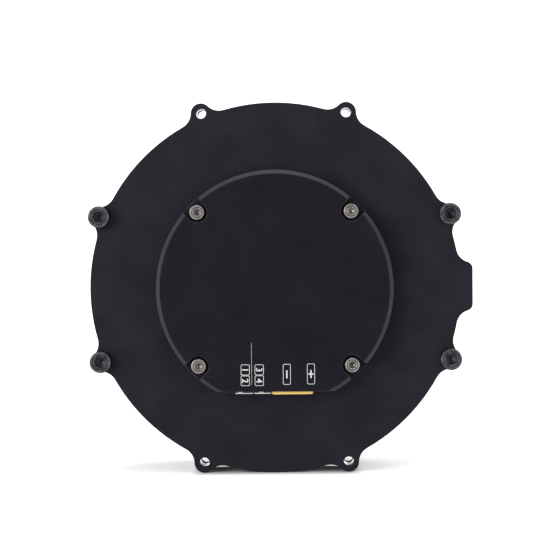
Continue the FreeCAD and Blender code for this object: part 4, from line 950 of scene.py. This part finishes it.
signal_low, signal_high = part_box("signal_connectors")
mouth = signal_low.z - MOUTH_OUT
for number, (centre, rib_at) in enumerate(SIGNAL_SOCKETS, start=1):
    shell = socket_shell(f"signal_socket_{number}", (centre - HALF_WIDTH) * MM, (centre + HALF_WIDTH) * MM,
                         signal_high.y, signal_low.y, mouth, signal_high.z - mouth,
                         SIGNAL_WALL, SIGNAL_CAVITY, SIGNAL_CORNER)
    deselect()
    bpy.ops.mesh.primitive_cube_add(size=1.0, location=(centre * MM, signal_low.y, mouth + LIP + WINDOW / 2))
    window = bpy.context.object
    window.scale = (WINDOW_WIDTH, WINDOW_DEPTH, WINDOW)
    cut_out(shell, settle(window, "latch_window"))
    place = (rib_at * MM, signal_low.y + LATCH_RIB_FORWARD, mouth + LATCH_RIB_UP)
    add_block(shell, place, LATCH_RIB_SIZE, LATCH_RIB_ROUNDING)
    settle(shell, f"signal_socket_{number}")
    finish_as(shell, FINISHES["white_nylon"], node="signal_connectors")
    plate = shade_plate(f"shade_plate_{number}", centre * MM, signal_low.y + PLATE_FORWARD, mouth + LIP)
    finish_as(plate, SHADE_BLACK, node="signal_connectors")
print("signal sockets and plates:", 2 * len(SIGNAL_SOCKETS))

# %% [markdown]
# The marks beside the sockets are screen printed in white ink, a film about a hundredth of
# a millimetre thick, a little uneven in tone. Digits number the signal poles, and the
# usual signs give the supply's poles.

# %% White ink
INK_FILM = 0.012 * MM


def ink_finish():
    material, shader, place = start_material("screen_printed_white_ink")
    film = add(material, "TexNoise", {"Scale": each(0.4), **FINE}, {"Vector": place})
    colour = add(material, "ValToRGB", {"stops": [(0.3, "d2d2d4"), (0.7, "e9e9ea")]}, {"Fac": film})
    bump = add(material, "Bump", {"Strength": 0.2, "Distance": 0.005 * MM}, {"Height": film})
    roughness = add(material, "MapRange", {**SPREAD, "To Min": 0.5, "To Max": 0.65}, {"Value": film})
    feed(material, shader, Base_Color=colour, Roughness=roughness, Normal=bump)
    return material


INK = ink_finish()


def print_on(piece, name):
    """Gives a flat shape the thickness of the ink, standing out to the rear, and its finish."""
    shape_by(piece, "SOLIDIFY", thickness=INK_FILM, offset=1.0)
    finish_as(settle(piece, name), INK)


def flat_shape(name, x, z, width, height):
    """A plane on the cap's face, with its middle and size in millimetres."""
    deselect()
    bpy.ops.mesh.primitive_plane_add(size=1.0, rotation=UPRIGHT, location=(x * MM, CAP_FACE, z * MM))
    shape = bpy.context.object
    shape.scale = (width * MM, height * MM, 1)
    settle(shape, name)
    pick_vertices(shape, lambda at: True)
    return shape


print("ink:", INK.name)

# %% [markdown]
# A box starts as a plane whose corners are rounded and whose middle is taken out. A digit
# starts as a font curve, is made a mesh, and is turned a quarter so that it reads downwards.

# %% Boxes with digits
LINE, CORNER, DIGIT_SIZE = 0.125 * MM, 0.4 * MM, 2.3 * MM
# Left, right, low and high side of each box, in millimetres
SMALL_BOXES = {"1": (-8.88, -6.6, -22.1, -19.35), "2": (-8.88, -6.6, -24.85, -22.2),
               "3": (-5.3, -3.0, -22.1, -19.35), "4": (-5.3, -3.0, -24.85, -22.2)}


def printed_box(name, left, right, low, high):
    """An outline with round corners."""
    box = flat_shape(name, (left + right) / 2, (low + high) / 2, right - left, high - low)
    bpy.ops.mesh.bevel(offset=CORNER, segments=5, affect="VERTICES")
    bpy.ops.mesh.select_mode(type="FACE")
    bpy.ops.mesh.select_all(action="SELECT")
    bpy.ops.mesh.inset(thickness=LINE)
    bpy.ops.mesh.delete(type="FACE")
    print_on(box, name)


def printed_digit(name, text, x, z):
    """A digit centred on x and z."""
    deselect()
    bpy.ops.object.text_add(location=(0, 0, 0))
    digit = bpy.context.object
    digit.data.body = text
    digit.data.size = DIGIT_SIZE
    digit.data.offset = 0.02 * MM
    digit.data.align_x, digit.data.align_y = "CENTER", "CENTER"
    bpy.ops.object.convert(target="MESH")
    digit = bpy.context.object
    bpy.ops.object.origin_set(type="ORIGIN_GEOMETRY", center="BOUNDS")
    digit.rotation_euler = UPRIGHT
    digit.location = (0, 0, 0)
    settle(digit, name)
    digit.rotation_euler = (0, math.pi / 2, 0)
    digit.location = (x * MM, CAP_FACE, z * MM)
    settle(digit, name)
    print_on(digit, name)


for number, (left, right, low, high) in SMALL_BOXES.items():
    printed_box(f"printed_box_{number}", left, right, low, high)
    printed_digit(f"printed_digit_{number}", number, (left + right) / 2, (low + high) / 2)
print("boxes with digits:", len(SMALL_BOXES))

# %% [markdown]
# The rule between the two columns and the strokes of the signs are plain bars with rounded
# corners.

# %% The rule and the supply's signs
STROKE = 0.34


def printed_bar(name, x, z, width, height):
    """A plain bar of ink, for a rule or a stroke of a sign."""
    bar = flat_shape(name, x, z, width, height)
    bpy.ops.mesh.bevel(offset=min(width, height) * 0.3 * MM, segments=3, affect="VERTICES")
    print_on(bar, name)


printed_bar("printed_rule", -6.1, -19.2, 0.06, 10.8)
printed_box("printed_box_minus", 1.92, 3.9, -24.6, -19.3)
printed_bar("printed_minus", 2.91, -21.95, STROKE, 2.1)
printed_box("printed_box_plus", 8.1, 10.1, -24.55, -19.25)
printed_bar("printed_plus_long", 9.1, -21.9, STROKE, 2.1)
printed_bar("printed_plus_left", 8.67, -21.9, 0.5, STROKE)
printed_bar("printed_plus_right", 9.53, -21.9, 0.5, STROKE)
